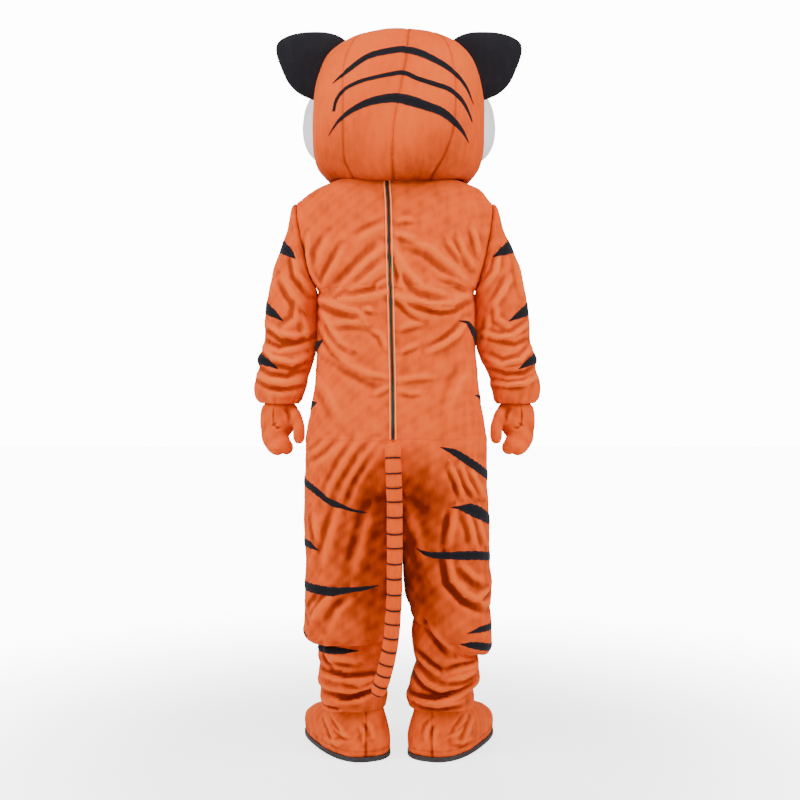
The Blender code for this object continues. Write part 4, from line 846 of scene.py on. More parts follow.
FRONT_CREASES = (
    # a worn front hangs straighter: folds from the armpits, over the belly and down from the seat
    Crease(((0.196, 1.184), (0.150, 1.162), (0.096, 1.150), (0.050, 1.152)), 0.0125, 0.0070, 0.4),
    Crease(((0.170, 1.306), (0.176, 1.256), (0.196, 1.206)), 0.0115, 0.0055, 0.3),
    Crease(((0.110, 1.282), (0.138, 1.232), (0.172, 1.196)), 0.0130, 0.0048, 0.3),
    Crease(((0.192, 1.120), (0.148, 1.082), (0.094, 1.066)), 0.0130, 0.0052, 0.4),
    Crease(((0.060, 1.102), (0.010, 1.092), (-0.052, 1.104)), 0.0120, 0.0045, 0.4),
    Crease(((0.196, 1.010), (0.130, 0.966), (0.060, 0.950)), 0.0160, 0.0040, 0.3),
    Crease(((-0.182, 1.188), (-0.134, 1.158), (-0.082, 1.146), (-0.036, 1.152)), 0.0125, 0.0072, 0.4),
    Crease(((-0.158, 1.310), (-0.168, 1.262), (-0.184, 1.214)), 0.0115, 0.0050, 0.3),
    Crease(((-0.098, 1.278), (-0.130, 1.234), (-0.160, 1.202)), 0.0130, 0.0048, 0.3),
    Crease(((-0.178, 1.104), (-0.138, 1.070), (-0.086, 1.052)), 0.0130, 0.0055, -0.4),
    Crease(((-0.184, 0.996), (-0.120, 0.956), (-0.050, 0.948)), 0.0160, 0.0038, 0.3),
    Crease(((0.036, 1.206), (0.004, 1.198), (-0.030, 1.208)), 0.0120, 0.0036, 0.3),
    Crease(((0.030, 0.830), (0.074, 0.772), (0.104, 0.704)), 0.0120, 0.0056, 0.3),
    Crease(((0.076, 0.838), (0.120, 0.788), (0.160, 0.744)), 0.0115, 0.0050, 0.3),
    Crease(((0.056, 0.660), (0.082, 0.576), (0.098, 0.482)), 0.0160, 0.0040, 0.2),
    Crease(((0.168, 0.640), (0.180, 0.560), (0.192, 0.486)), 0.0150, 0.0042, 0.3),
    Crease(((0.128, 0.470), (0.160, 0.420), (0.206, 0.380)), 0.0125, 0.0070, 0.4),
    Crease(((0.060, 0.430), (0.090, 0.394), (0.130, 0.360)), 0.0120, 0.0042, 0.3),
    Crease(((-0.022, 0.826), (-0.060, 0.766), (-0.092, 0.700)), 0.0120, 0.0056, 0.3),
    Crease(((-0.070, 0.836), (-0.112, 0.790), (-0.148, 0.750)), 0.0115, 0.0048, 0.3),
    Crease(((-0.060, 0.650), (-0.078, 0.566), (-0.092, 0.476)), 0.0160, 0.0042, 0.2),
    Crease(((-0.164, 0.636), (-0.172, 0.560), (-0.184, 0.492)), 0.0150, 0.0040, 0.3),
    Crease(((-0.120, 0.486), (-0.148, 0.436), (-0.200, 0.402)), 0.0125, 0.0075, 0.4),
    Crease(((0.196, 0.270), (0.130, 0.262), (0.060, 0.268)), 0.0100, 0.0050, 0.5),
    Crease(((0.196, 0.232), (0.120, 0.222), (0.050, 0.228)), 0.0080, -0.0055, 0.3),
    Crease(((0.190, 0.182), (0.120, 0.190), (0.046, 0.180)), 0.0090, 0.0050, 0.5),
    Crease(((-0.062, 0.330), (-0.100, 0.292), (-0.150, 0.270)), 0.0110, 0.0060, 0.3),
    Crease(((-0.050, 0.240), (-0.110, 0.228), (-0.190, 0.244)), 0.0085, -0.0058, 0.3),
    Crease(((-0.036, 0.190), (-0.110, 0.180), (-0.190, 0.196)), 0.0090, 0.0058, 0.5),
)


def facing_creases(grid: Grid, back: Iterable[Crease], front: Iterable[Crease],
                   middle: float = 0.0, turn: float = 0.03) -> list[tuple[Iterable[Crease], np.ndarray]]:
    """Both faces' creases with how strongly each counts, changing over smoothly at the sides."""
    share = np.clip(0.5 + (grid[..., 1] - middle) / (2 * turn), 0.0, 1.0)
    share = share * share * (3 - 2 * share)
    return [(back, share), (front, 1.0 - share)]


@dataclass
class Suit:
    """The body of the suit: two back panels that meet at the zip, and the whole front."""

    hip: float = 0.822
    armpit: float = 1.203
    shoulder: float = 1.430
    rows: tuple[tuple[float, ...], ...] = (
        (0.822, 0.2430, -0.2280, 0.0150, 0.150, -0.150),
        (0.860, 0.2360, -0.2220, 0.0152, 0.146, -0.151),
        (0.900, 0.2280, -0.2150, 0.0155, 0.140, -0.152),
        (0.945, 0.2210, -0.2085, 0.0160, 0.133, -0.152),
        (0.985, 0.2170, -0.2050, 0.0165, 0.128, -0.150),
        (1.025, 0.2150, -0.2015, 0.0175, 0.124, -0.149),
        (1.065, 0.2140, -0.1990, 0.0185, 0.122, -0.148),
        (1.110, 0.2140, -0.1990, 0.0195, 0.125, -0.149),
        (1.160, 0.2125, -0.1980, 0.0205, 0.131, -0.150),
    )
    neck_rows: tuple[tuple[float, ...], ...] = (
        (1.446, 0.2420, -0.2270, 0.0290, 0.115, -0.121),
        (1.461, 0.2180, -0.2130, 0.0300, 0.111, -0.116),
        (1.475, 0.1880, -0.1840, 0.0300, 0.106, -0.111),
        (1.487, 0.1560, -0.1520, 0.0300, 0.101, -0.105),
        (1.500, 0.1250, -0.1170, 0.0300, 0.094, -0.098),
        (1.530, 0.1050, -0.0970, 0.0300, 0.086, -0.090),
    )
    chest: Point2 = (0.135, -0.150)
    yoke: Point2 = (0.119, -0.126)
    arm_steps: int = 16
    arm_depth: float = 0.078
    arm_middle: float = -0.005
    arm_bow: float = 0.010
    arm_turn: float = 62.0
    back_cell: float = 0.0043
    front_cell: float = 0.0062
    dense: int = 150

    def armhole(self, side: Side, angle: float) -> np.ndarray:
        """A point of the armhole seam: angle 0 at the shoulder point, pi at the armpit, behind when positive."""
        top_x, low_x = (0.2626, 0.2106) if side is Side.LEFT else (-0.2390, -0.1960)
        share = (1 + cos(angle)) / 2
        return np.array((mix(low_x, top_x, share) + side.value * self.arm_bow * abs(sin(angle)),
                         self.arm_middle + self.arm_depth * sin(angle),
                         mix(self.armpit, self.shoulder, share)))

    def section(self, side: Side, face: Face) -> tuple[Grid, np.ndarray]:
        """One quarter's coarse rows, closely spaced from the middle of its back or front to its side."""
        lines = []
        for height, left, right, zip_x, back, front in (*self.rows, *self.neck_rows):
            end_x = left if side is Side.LEFT else right
            lines.append((height, zip_x, back if face is Face.BACK else front, end_x, 0.0, 90.0))
        for step in range(self.arm_steps + 1):
            share = step / self.arm_steps
            angle = pi * (1 - share)
            spot = self.armhole(side, angle * face.value)
            chest, yoke = self.chest[face is Face.FRONT], self.yoke[face is Face.FRONT]
            lines.insert(len(self.rows) + step, (spot[2], mix(0.0215, 0.0280, share), mix(chest, yoke, share),
                                                 spot[0], spot[1], mix(90.0, self.arm_turn, sin(angle) ** 1.5)))
        shares = np.linspace(0.0, 1.0, self.dense + 1)
        rings = []
        for height, middle_x, middle_y, end_x, end_y, turn in lines:
            angle = np.radians(turn) * shares
            share_x = np.sin(angle) ** (2 / SIDE_ROUND)
            share_y = 1 - np.abs(np.cos(angle)) ** (2 / SIDE_ROUND)
            rings.append(np.stack([mix(middle_x, end_x, share_x / share_x[-1]),
                                   mix(middle_y, end_y, share_y / share_y[-1]), np.full(len(shares), height)], axis=1))
        return np.array(rings), np.repeat((90.0 * (1 - shares))[None], len(rings), axis=0)

    def surface(self, side: Side, face: Face) -> tuple[Grid, np.ndarray]:
        """One quarter of the body, with the turn of each point from its side."""
        steps = row_steps(self.section(one, other)[0] for one in Side for other in Face)
        rings, keys = self.section(side, face)
        cell = self.back_cell if face is Face.BACK else self.front_cell
        grid, keys = even_columns(rings, keys, round(0.30 / cell))
        corner = np.linspace(0.0, 1.0, grid.shape[1]) ** 16
        start = len(self.rows)
        fine = smooth_rows(np.concatenate([grid, keys[..., None]], axis=2), self.back_cell,
                           {start: corner, start + self.arm_steps: corner}, steps)
        fine[0, :, 2] += SEAM_GAP / 2
        return fine[..., :3], fine[..., 3]

    def wrinkled(self, grid: Grid, seams: Iterable[int]) -> tuple[Grid, np.ndarray, Grid]:
        """A panel's surface with its creases and sewn edges, its painted shade and highlight, and its normals."""
        normals = grid_normals(grid)
        moved, nap = creased(grid, normals, facing_creases(grid, BACK_CREASES, FRONT_CREASES))
        moved, nap = seamed(moved, normals, nap, seams)
        return moved, nap, normals

    def build(self) -> dict[Side, SurfaceMap]:
        """Make the three panels.

        Returns:
            Each side's surface, for what is sewn on it.
        """
        shown, flat, keys = {}, {}, {}
        for side in Side:
            for face in Face:
                grid, turn = self.surface(side, face)
                flat[side, face], keys[side, face] = grid, turn * face.value
                edges = (-1,) if face is Face.FRONT else (0, -1)
                shown[side, face] = self.wrinkled(grid, edges)
        for side in Side:
            grid, nap, normals = shown[side, Face.BACK]
            grid = pulled_back(grid, ZIP_HALF_OPEN, SEAM_GAP / 2)
            self.panel("back_panel_" + side.word, grid, nap, normals, flat[side, Face.BACK], "back_" + side.word)
        left, right = shown[Side.LEFT, Face.FRONT], shown[Side.RIGHT, Face.FRONT]
        join = [np.concatenate([one[:, ::-1], other[:, 1:]], axis=1) for one, other in zip(left, right)]
        cut = np.concatenate([flat[Side.LEFT, Face.FRONT][:, ::-1], flat[Side.RIGHT, Face.FRONT][:, 1:]], axis=1)
        self.panel("front_panel", pulled_back(join[0], SEAM_GAP / 2, SEAM_GAP / 2), join[1], join[2], cut, "front")
        maps = {}
        for side in Side:
            maps[side] = SurfaceMap(*(self.joined(*(grids[side, face] for face in Face)) for grids in
                                      (flat, keys, {key: parts[0] for key, parts in shown.items()})), 0.0019)
        self.back_middle = flat[Side.LEFT, Face.BACK][:, 0]
        self.back_normals = grid_normals(flat[Side.LEFT, Face.BACK])[:, 0]
        self.edges = {side: shown[side, Face.BACK][0] for side in Side}
        return maps

    @staticmethod
    def joined(back: Grid, front: Grid) -> Grid:
        """A back and a front quarter joined at the side seam."""
        return np.concatenate([back, front[:, ::-1][:, 1:]], axis=1)

    @staticmethod
    def panel(name: str, grid: Grid, nap: np.ndarray, normals: Grid, cut: Grid, node: str) -> bpy.types.Object:
        """One sewn panel as a wall of plush."""
        made = new_grid(name, grid, nap=nap, normals=normals)
        thicken(made, CLOTH)
        dress(made, ORANGE, node)
        return made


@dataclass
class Sleeve:
    """A sleeve as a tube of plush from the armhole seam to the gathered cuff, turned in."""

    side: Side
    rows: tuple[tuple[float, ...], ...] = (
        (1.360, 1.1930, 0.2905, 0.2098, -0.2730, -0.1958, 0.0800),
        (1.315, 1.1720, 0.3060, 0.2106, -0.2935, -0.1962, 0.0780),
        (1.265, 1.1450, 0.3220, 0.2112, -0.3120, -0.1966, 0.0760),
        (1.215, 1.1180, 0.3360, 0.2118, -0.3250, -0.1970, 0.0750),
        (1.130, 1.0700, 0.3490, 0.2128, -0.3385, -0.1980, 0.0740),
        (1.060, 1.0220, 0.3530, 0.2205, -0.3445, -0.2140, 0.0735),
        (1.026, 1.0000, 0.3670, 0.2290, -0.3575, -0.2250, 0.0760),
        (1.002, 0.9800, 0.3650, 0.2360, -0.3560, -0.2345, 0.0720),
        (0.972, 0.9580, 0.3745, 0.2390, -0.3660, -0.2385, 0.0730),
        (0.943, 0.9340, 0.3765, 0.2480, -0.3690, -0.2435, 0.0690),
        (0.920, 0.9160, 0.3690, 0.2560, -0.3610, -0.2495, 0.0600),
        (0.912, 0.9100, 0.3570, 0.2640, -0.3490, -0.2580, 0.0520),
        (0.917, 0.9160, 0.3515, 0.2685, -0.3435, -0.2625, 0.0475),
    )
    columns: int = 108
    cell: float = 0.0042
    seam_gap: float = 0.0003
    lift: float = 0.005
    gathers: int = 17
    creases: tuple[Crease, ...] = (
        Crease(((0.268, 1.290), (0.258, 1.240), (0.226, 1.196)), 0.0100, 0.0065, 0.3),
        Crease(((0.298, 1.236), (0.276, 1.196), (0.250, 1.158)), 0.0115, 0.0062, 0.4),
        Crease(((0.262, 1.158), (0.262, 1.124), (0.292, 1.104)), 0.0095, 0.0055, 0.4),
        Crease(((0.342, 1.116), (0.300, 1.086), (0.262, 1.080), (0.226, 1.094)), 0.0095, 0.0075, 0.5),
        Crease(((0.346, 1.074), (0.306, 1.056), (0.268, 1.062), (0.228, 1.074)), 0.0085, -0.0055, 0.3),
        Crease(((0.356, 1.060), (0.322, 1.024), (0.272, 1.012), (0.232, 1.034)), 0.0095, 0.0080, 0.5),
        Crease(((0.362, 1.004), (0.330, 0.984), (0.284, 0.980), (0.240, 0.996)), 0.0090, -0.0065, 0.4),
        Crease(((0.366, 0.982), (0.330, 0.964), (0.286, 0.958), (0.246, 0.968)), 0.0085, 0.0060, 0.5),
        Crease(((0.330, 0.948), (0.300, 0.944), (0.262, 0.950)), 0.0070, -0.0045, 0.3),
        Crease(((0.318, 1.300), (0.322, 1.250), (0.330, 1.200)), 0.0120, 0.0036, 0.2),
        Crease(((0.246, 1.136), (0.240, 1.110), (0.232, 1.060)), 0.0100, 0.0045, 0.3),
    )

    def own_creases(self) -> tuple[list[Crease], list[Crease]]:
        """The creases behind and in front; the right sleeve's lie nearer the middle."""
        shift, share = (0.0, 1.0) if self.side is Side.LEFT else (0.0055, 0.92)
        behind, before = [], []
        for number, crease in enumerate(self.creases):
            line = tuple((self.side.value * (x - 2 * shift), height + (0.004 if shift else 0.0) * (-1) ** number)
                         for x, height in crease.line)
            behind.append(Crease(line, crease.width, crease.lift * share, crease.lean * self.side.value))
            line = tuple((x, height + 0.006 * (-1) ** number) for x, height in line)
            before.append(Crease(line, crease.width * 1.08, crease.lift * 0.85, crease.lean * self.side.value))
        return behind, before

    def rings(self, suit: Suit) -> tuple[Grid, np.ndarray]:
        """The sleeve's sections, and how far round from the outer side each point lies, in degrees."""
        angles = np.linspace(-pi, pi, self.columns, endpoint=False)
        loop = np.array([suit.armhole(self.side, angle) for angle in angles])
        middle = loop.mean(axis=0)
        along = np.roll(loop, -1, axis=0) - np.roll(loop, 1, axis=0)
        out = np.stack([np.zeros(len(loop)), loop[:, 1] - suit.arm_middle, (loop[:, 2] - middle[2]) * 0.6], axis=1)
        away = np.cross(along, out)
        away *= np.sign(away[:, :1] * self.side.value)
        away[:, 0] = self.side.value * np.maximum(np.abs(away[:, 0]), 1e-9)
        away /= np.linalg.norm(away, axis=1, keepdims=True)
        out /= np.maximum(np.linalg.norm(out, axis=1, keepdims=True), 1e-9)
        under = (1 - np.cos(angles)[:, None]) / 2
        rings = [loop + away * self.seam_gap, loop + (away + 0.6 * out * under) * self.lift]
        share = (1 + np.cos(angles)) / 2
        for row in self.rows:
            outer_height, inner_height, *sides, depth = row
            outer_x, inner_x = sides[:2] if self.side is Side.LEFT else sides[2:]
            rings.append(np.stack([mix(inner_x, outer_x, share), suit.arm_middle + depth * np.sin(angles),
                                   mix(inner_height, outer_height, share)], axis=1))
        return np.array(rings), np.degrees(angles)

    def build(self, suit: Suit) -> SurfaceMap:
        """Make the sleeve.

        Args:
            suit: The body that it is sewn to.

        Returns:
            Its surface, for its stripes.
        """
        rings, turns = self.rings(suit)
        flat = smooth_rows(rings, self.cell)
        normals = grid_normals(flat, closed=True)
        behind, before = self.own_creases()
        moved, nap = creased(flat, normals, facing_creases(flat, behind, before, suit.arm_middle, 0.02), seed=2.0)
        run = np.concatenate([[0.0], np.cumsum(np.linalg.norm(np.diff(flat, axis=0), axis=2).mean(axis=1))])
        from_cuff, from_seam = (run[-1] - run)[:, None], run[:, None]
        pleats = np.sin(self.gathers * np.radians(turns)[None] + np.sin(3 * np.radians(turns))[None] * 2.2)
        pleats = pleats * (0.5 + 0.5 * np.sin(5 * np.radians(turns) + 1.0)[None])
        gathered = np.exp(-((from_cuff - 0.020) / 0.016) ** 2) * pleats
        start = np.exp(-(from_seam / 0.005) ** 2)
        held = np.clip(from_seam / 0.012, 0.0, 1.0)[..., None]
        moved = mix(flat, moved, held) + normals * (0.0010 * gathered - 0.0010 * start)[..., None]
        # painted shading: lighter on the cuff's gathers, darker in the folds between them and at the armhole seam
        nap = nap + 0.35 * gathered - 0.6 * start
        made = new_grid("sleeve_shell_" + self.side.word, moved, closed=True, nap=nap, normals=normals)
        thicken(made, CLOTH)
        dress(made, ORANGE, "sleeve_" + self.side.word)
        keys = np.repeat(turns[None], len(flat), axis=0)
        first = 2
        return SurfaceMap(flat[first:], keys[first:], moved[first:], 0.00105)


# height, lean, outer, inner, back, front, split
LEFT_LEG = (
    (0.822, 0.0, 0.2430, 0.0152, 0.150, -0.150, 0.00),
    (0.770, 0.0, 0.2425, 0.0132, 0.158, -0.152, 0.00),
    (0.712, 0.0, 0.2444, 0.0102, 0.155, -0.148, 0.06),
    (0.665, 0.0, 0.2455, 0.0062, 0.149, -0.144, 0.30),
    (0.628, 0.0, 0.2465, 0.0042, 0.143, -0.141, 0.72),
    (0.600, 0.0, 0.2468, 0.0006, 0.139, -0.139, 1.00),
    (0.550, 0.0, 0.2440, -0.0030, 0.134, -0.137, 1.00),
    (0.500, 0.0, 0.2418, -0.0068, 0.130, -0.136, 1.00),
    (0.450, 0.0, 0.2436, -0.0078, 0.127, -0.138, 1.00),
    (0.400, 0.0, 0.2444, -0.0052, 0.126, -0.140, 1.00),
    (0.360, 0.0, 0.2455, -0.0026, 0.128, -0.142, 1.00),
    (0.334, -0.004, 0.2470, 0.0000, 0.131, -0.143, 1.00),
    (0.317, -0.004, 0.2445, 0.0045, 0.129, -0.140, 1.00),
    (0.306, -0.004, 0.2330, 0.0110, 0.119, -0.130, 1.00),
    (0.307, -0.004, 0.2180, 0.0150, 0.106, -0.117, 1.00),
    (0.300, 0.000, 0.2060, 0.0110, 0.096, -0.108, 1.00),
    (0.282, 0.000, 0.2090, 0.0085, 0.102, -0.114, 1.00),
    (0.260, 0.000, 0.2105, 0.0110, 0.104, -0.115, 1.00),
    (0.241, 0.000, 0.2060, 0.0175, 0.095, -0.107, 1.00),
    (0.218, 0.000, 0.2090, 0.0210, 0.101, -0.113, 1.00),
    (0.196, 0.000, 0.2110, 0.0255, 0.101, -0.113, 1.00),
    (0.178, 0.000, 0.2040, 0.0300, 0.092, -0.106, 1.00),
    (0.156, 0.000, 0.2055, 0.0290, 0.098, -0.112, 1.00),
    (0.132, 0.000, 0.1990, 0.0340, 0.088, -0.104, 1.00),
)
RIGHT_LEG = (
    (0.822, 0.0, -0.2280, 0.0148, 0.150, -0.150, 0.00),
    (0.770, 0.0, -0.2285, 0.0128, 0.158, -0.152, 0.00),
    (0.712, 0.0, -0.2290, 0.0098, 0.155, -0.148, 0.06),
    (0.665, 0.0, -0.2315, 0.0058, 0.149, -0.144, 0.30),
    (0.628, 0.0, -0.2335, 0.0034, 0.143, -0.141, 0.72),
    (0.600, 0.0, -0.2340, -0.0006, 0.139, -0.139, 1.00),
    (0.550, 0.0, -0.2340, -0.0050, 0.134, -0.137, 1.00),
    (0.500, 0.0, -0.2350, -0.0092, 0.130, -0.136, 1.00),
    (0.450, -0.004, -0.2415, -0.0122, 0.127, -0.138, 1.00),
    (0.405, -0.014, -0.2370, -0.0160, 0.127, -0.139, 1.00),
    (0.375, -0.028, -0.2390, -0.0220, 0.129, -0.142, 1.00),
    (0.347, -0.040, -0.2400, -0.0285, 0.131, -0.143, 1.00),
    (0.328, -0.046, -0.2380, -0.0300, 0.129, -0.140, 1.00),
    (0.314, -0.048, -0.2270, -0.0350, 0.119, -0.130, 1.00),
    (0.313, -0.048, -0.2130, -0.0390, 0.106, -0.117, 1.00),
    (0.300, -0.038, -0.2010, -0.0340, 0.096, -0.108, 1.00),
    (0.280, -0.022, -0.2040, -0.0330, 0.102, -0.114, 1.00),
    (0.258, -0.008, -0.2060, -0.0385, 0.104, -0.115, 1.00),
    (0.239, 0.000, -0.2065, -0.0440, 0.095, -0.107, 1.00),
    (0.217, 0.000, -0.2090, -0.0350, 0.101, -0.113, 1.00),
    (0.194, 0.000, -0.2085, -0.0285, 0.101, -0.113, 1.00),
    (0.175, 0.000, -0.1935, -0.0240, 0.092, -0.106, 1.00),
    (0.155, 0.000, -0.1960, -0.0185, 0.098, -0.112, 1.00),
    (0.132, 0.000, -0.1930, -0.0250, 0.088, -0.104, 1.00),
)


@dataclass
class Leg:
    """A baggy leg in a back and a front panel, bloused over at the knee and rolled below it."""

    side: Side
    rows: tuple[tuple[float, ...], ...]
    hip_round: float = SIDE_ROUND
    crotch_corner: float = 4.6
    back_cell: float = 0.0044
    front_cell: float = 0.0062
    dense: int = 160

    def ring(self, row: tuple[float, ...], face: Face) -> np.ndarray:
        """Half a section, closely spaced from the inseam round to the side seam."""
        height, lean, outer, inner, back, front, split = row
        centre, reach = (outer + inner) / 2, (outer - inner) / 2
        square = mix(SIDE_ROUND, self.crotch_corner, min(1.0, max(0.0, (height - 0.36) / 0.24)))
        deep = back if face is Face.BACK else front
        share = np.linspace(0.0, 1.0, self.dense + 1)
        turn = pi * (1 - share)
        corner = np.where(np.cos(turn) < 0, square, SIDE_ROUND)
        leg_x = centre + reach * np.sign(np.cos(turn)) * np.abs(np.cos(turn)) ** (2 / corner)
        leg_y = deep * np.abs(np.sin(turn)) ** (2 / corner)
        hip_x = mix(inner, outer, np.sin(share * pi / 2) ** (2 / SIDE_ROUND))
        hip_y = deep * np.abs(np.cos(share * pi / 2)) ** (2 / SIDE_ROUND)
        x, y = mix(hip_x, leg_x, split), mix(hip_y, leg_y, split)
        return np.stack([x, y, height + lean * (x - centre) / reach], axis=1)

    def surface(self, face: Face) -> tuple[Grid, np.ndarray]:
        """One panel's points from hip to hem, and each point's turn from the side seam."""
        steps = row_steps(np.array([self.ring(row, other) for row in self.rows]) for other in Face)
        rings = np.array([self.ring(row, face) for row in self.rows])
        keys = np.repeat(np.linspace(180.0, 0.0, self.dense + 1)[None], len(rings), axis=0)
        cell = self.back_cell if face is Face.BACK else self.front_cell
        grid, keys = even_columns(rings, keys, round(0.42 / cell))
        fine = smooth_rows(np.concatenate([grid, keys[..., None]], axis=2), self.back_cell, lengths=steps)
        fine[0, :, 2] -= SEAM_GAP / 2
        return fine[..., :3], fine[..., 3]

    def build(self) -> tuple[SurfaceMap, SurfaceMap]:
        """Make the two panels.

        Returns:
            The leg's surface above the blouse's lowest line and below it, from inseam round to inseam.
        """
        flats, shown, keys = {}, {}, {}
        for face in Face:
            flat, turn = self.surface(face)
            normals = grid_normals(flat)
            moved, nap = creased(flat, normals, facing_creases(flat, BACK_CREASES, FRONT_CREASES))
            moved, nap = seamed(moved, normals, nap, (0, -1))
            # painted shade over the legs below the hip line, deepest near the middle at the seat and thighs and weaker
            # below the knees
            middle = np.exp(-((flat[..., 0] - 0.006) / 0.14) ** 2) * np.clip((flat[..., 2] - 0.26) / 0.16, 0.45, 1)
            nap = nap - (0.12 + 0.95 * middle) * np.clip((0.826 - flat[..., 2]) / 0.15, 0, 1)
            flats[face], shown[face], keys[face] = flat, moved, turn * face.value
            word = "back" if face is Face.BACK else "front"
            grid = pulled_back(moved, SEAM_GAP / 2, SEAM_GAP / 2)
            Suit.panel(f"leg_{word}_panel_{self.side.word}", grid, nap, normals, flat, f"leg_{word}_{self.side.word}")
        surface = SurfaceMap(*(Suit.joined(*(grids[face] for face in Face)) for grids in (flats, keys, shown)), 0.0021)
        steps = row_steps(np.array([self.ring(row, face) for row in self.rows]) for face in Face)
        counts = np.maximum(1, np.round(steps / self.back_cell)).astype(int)
        return surface.rows(0, int(counts[:14].sum())), surface.rows(int(counts[:15].sum()), None)


# ---------------------------------------------------------------- the head
@dataclass
class Head:
    """The animal head: four gores behind and one face panel, padded, open at the neck."""

    rows: tuple[tuple[float, ...], ...] = (
        (1.467, 1.492, 1.452, 0.1720, -0.1720, 0.137, -0.166, 3.5, 38.0, -24.0),
        (1.480, 1.501, 1.468, 0.1900, -0.1900, 0.153, -0.186, 3.4, 37.5, -24.5),
        (1.506, 1.523, 1.500, 0.2120, -0.2090, 0.166, -0.205, 3.2, 37.0, -28.0),
        (1.545, 1.560, 1.545, 0.2225, -0.2190, 0.176, -0.220, 2.8, 36.5, -32.0),
        (1.600, 1.610, 1.600, 0.2255, -0.2235, 0.181, -0.229, 2.0, 36.0, -36.0),
        (1.660, 1.665, 1.660, 0.2255, -0.2235, 0.181, -0.231, 0.0, 36.0, -37.0),
        (1.715, 1.715, 1.715, 0.2220, -0.2200, 0.175, -0.226, -2.0, 37.0, -38.0),
        (1.765, 1.765, 1.765, 0.2110, -0.2095, 0.163, -0.215, -4.0, 38.0, -38.0),
        (1.805, 1.805, 1.805, 0.1940, -0.1940, 0.144, -0.197, -5.0, 38.0, -38.0),
        (1.835, 1.832, 1.835, 0.1700, -0.1720, 0.118, -0.170, -6.0, 38.0, -38.0),
        (1.858, 1.853, 1.856, 0.1380, -0.1420, 0.084, -0.138, -8.0, 38.0, -38.0),
        (1.872, 1.868, 1.870, 0.0940, -0.0980, 0.046, -0.104, -8.0, 38.0, -40.0),
        (1.880, 1.878, 1.879, 0.0440, -0.0470, 0.002, -0.064, -8.0, 38.0, -40.0),
        (1.882, 1.882, 1.882, 0.0015, -0.0015, -0.0285, -0.0315, -8.0, 38.0, -40.0),
    )
    roundness: float = 2.2
    middle: float = -0.030
    cell: float = 0.0052

    def ring(self, row: tuple[float, ...], start: float, end: float, count: int, grow: float = 0.0) -> np.ndarray:
        """One section between two angles; 0 is behind and 90 is the wearer's left."""
        back_height, side_height, front_height, left, right, back, front = row[:7]
        angles = np.radians(np.linspace(start, end, count + 1))
        across, deep = np.sin(angles), np.cos(angles)
        depth = np.where(deep > 0, back - self.middle, self.middle - front) + grow
        end_height = np.where(deep > 0, back_height, front_height)
        shape = 2 / self.roundness
        reach = (left - right) / 2 + grow
        return np.stack([(left + right) / 2 + reach * np.sign(across) * np.abs(across) ** shape,
                         self.middle + depth * np.sign(deep) * np.abs(deep) ** shape,
                         mix(side_height, end_height, deep * deep)], axis=1)

    def gore(self, first: Callable[[tuple[float, ...]], float], last: Callable[[tuple[float, ...]], float]) -> Grid:
        """The surface between two seams, each given as an angle for a row."""
        rings = np.array([self.ring(row, first(row), last(row), 120) for row in self.rows])
        whole = np.array([self.ring(row, 0.0, 360.0, 240) for row in self.rows])
        widest = np.linalg.norm(np.diff(rings, axis=1), axis=2).sum(axis=1).max()
        grid, _ = even_columns(rings, np.zeros(rings.shape[:2]), max(8, round(widest / self.cell)))
        return smooth_rows(grid, self.cell, lengths=row_steps([whole]))

    def build(self) -> SurfaceMap:
        """Make the five panels.

        Returns:
            The back of the head, keyed by x.
        """
        seams = {"side_left": (lambda row: 90.0, lambda row: row[8]), "back_left": (lambda row: row[8], lambda row: row[7]),
                 "back_right": (lambda row: row[7], lambda row: row[9]),
                 "side_right": (lambda row: row[9], lambda row: -90.0)}
        flats, shown = [], []
        for name, (first, last) in seams.items():
            flat, moved = self.panel("head_" + name + "_gore", "head_" + name, self.gore(first, last))
            flats.append(flat)
            shown.append(moved)
        self.panel("head_face_panel", "head_face", self.gore(lambda row: 270.0, lambda row: 90.0))
        flat = np.concatenate([flats[0]] + [part[:, 1:] for part in flats[1:]], axis=1)
        moved = np.concatenate([shown[0]] + [part[:, 1:] for part in shown[1:]], axis=1)
        return SurfaceMap(flat[:-4], flat[:-4, :, 0], moved[:-4], 1.0)

    def panel(self, name: str, node: str, flat: Grid) -> tuple[Grid, Grid]:
        """One panel, plump between its seams and rolled in at the rim."""
        away = flat - np.array((0.0, self.middle, 1.66))
        normals = grid_normals(flat)
        if np.sum(normals * away) < 0:
            normals = -normals
        x, y, height = flat[..., 0], flat[..., 1], flat[..., 2]
        lift = 0.0006 * np.sin(33 * x + 21 * height) * np.sin(29 * y + 37 * height + 1.0)
        lift = lift + 0.0005 * np.sin(61 * x - 47 * height + 0.4)
        moved = flat + normals * lift[..., None]
        # a faint wave of lighter and darker bands across the panel
        nap = np.clip(0.16 * np.sin(24 * x + 17 * height), -1, 1)
        moved, nap = seamed(moved, normals, nap, (0, -1), 0.0016, 0.0042, 0.0002)
        run = np.concatenate([[0.0], np.cumsum(np.linalg.norm(np.diff(flat, axis=0), axis=2).mean(axis=1))])[:, None]
        moved -= normals * (0.0045 * np.exp(-(run / 0.006) ** 2))[..., None]
        moved[..., 2] -= 0.0055 * np.exp(-(run / 0.022) ** 2)
        # painted shade at the rolled-in rim and on the lower head, growing toward the neck, and a little painted
        # highlight higher up
        nap = nap - 0.35 * np.exp(-(run / 0.020) ** 2) + np.clip((1.60 - height) / 0.13, -0.3, 1.0) * -0.55
        made = new_grid(name, pulled_back(moved, SEAM_GAP / 2, SEAM_GAP / 2), nap=nap, normals=normals)
        thicken(made, HEAD_WALL * 0.6)
        dress(made, ORANGE, node)
        return flat, moved


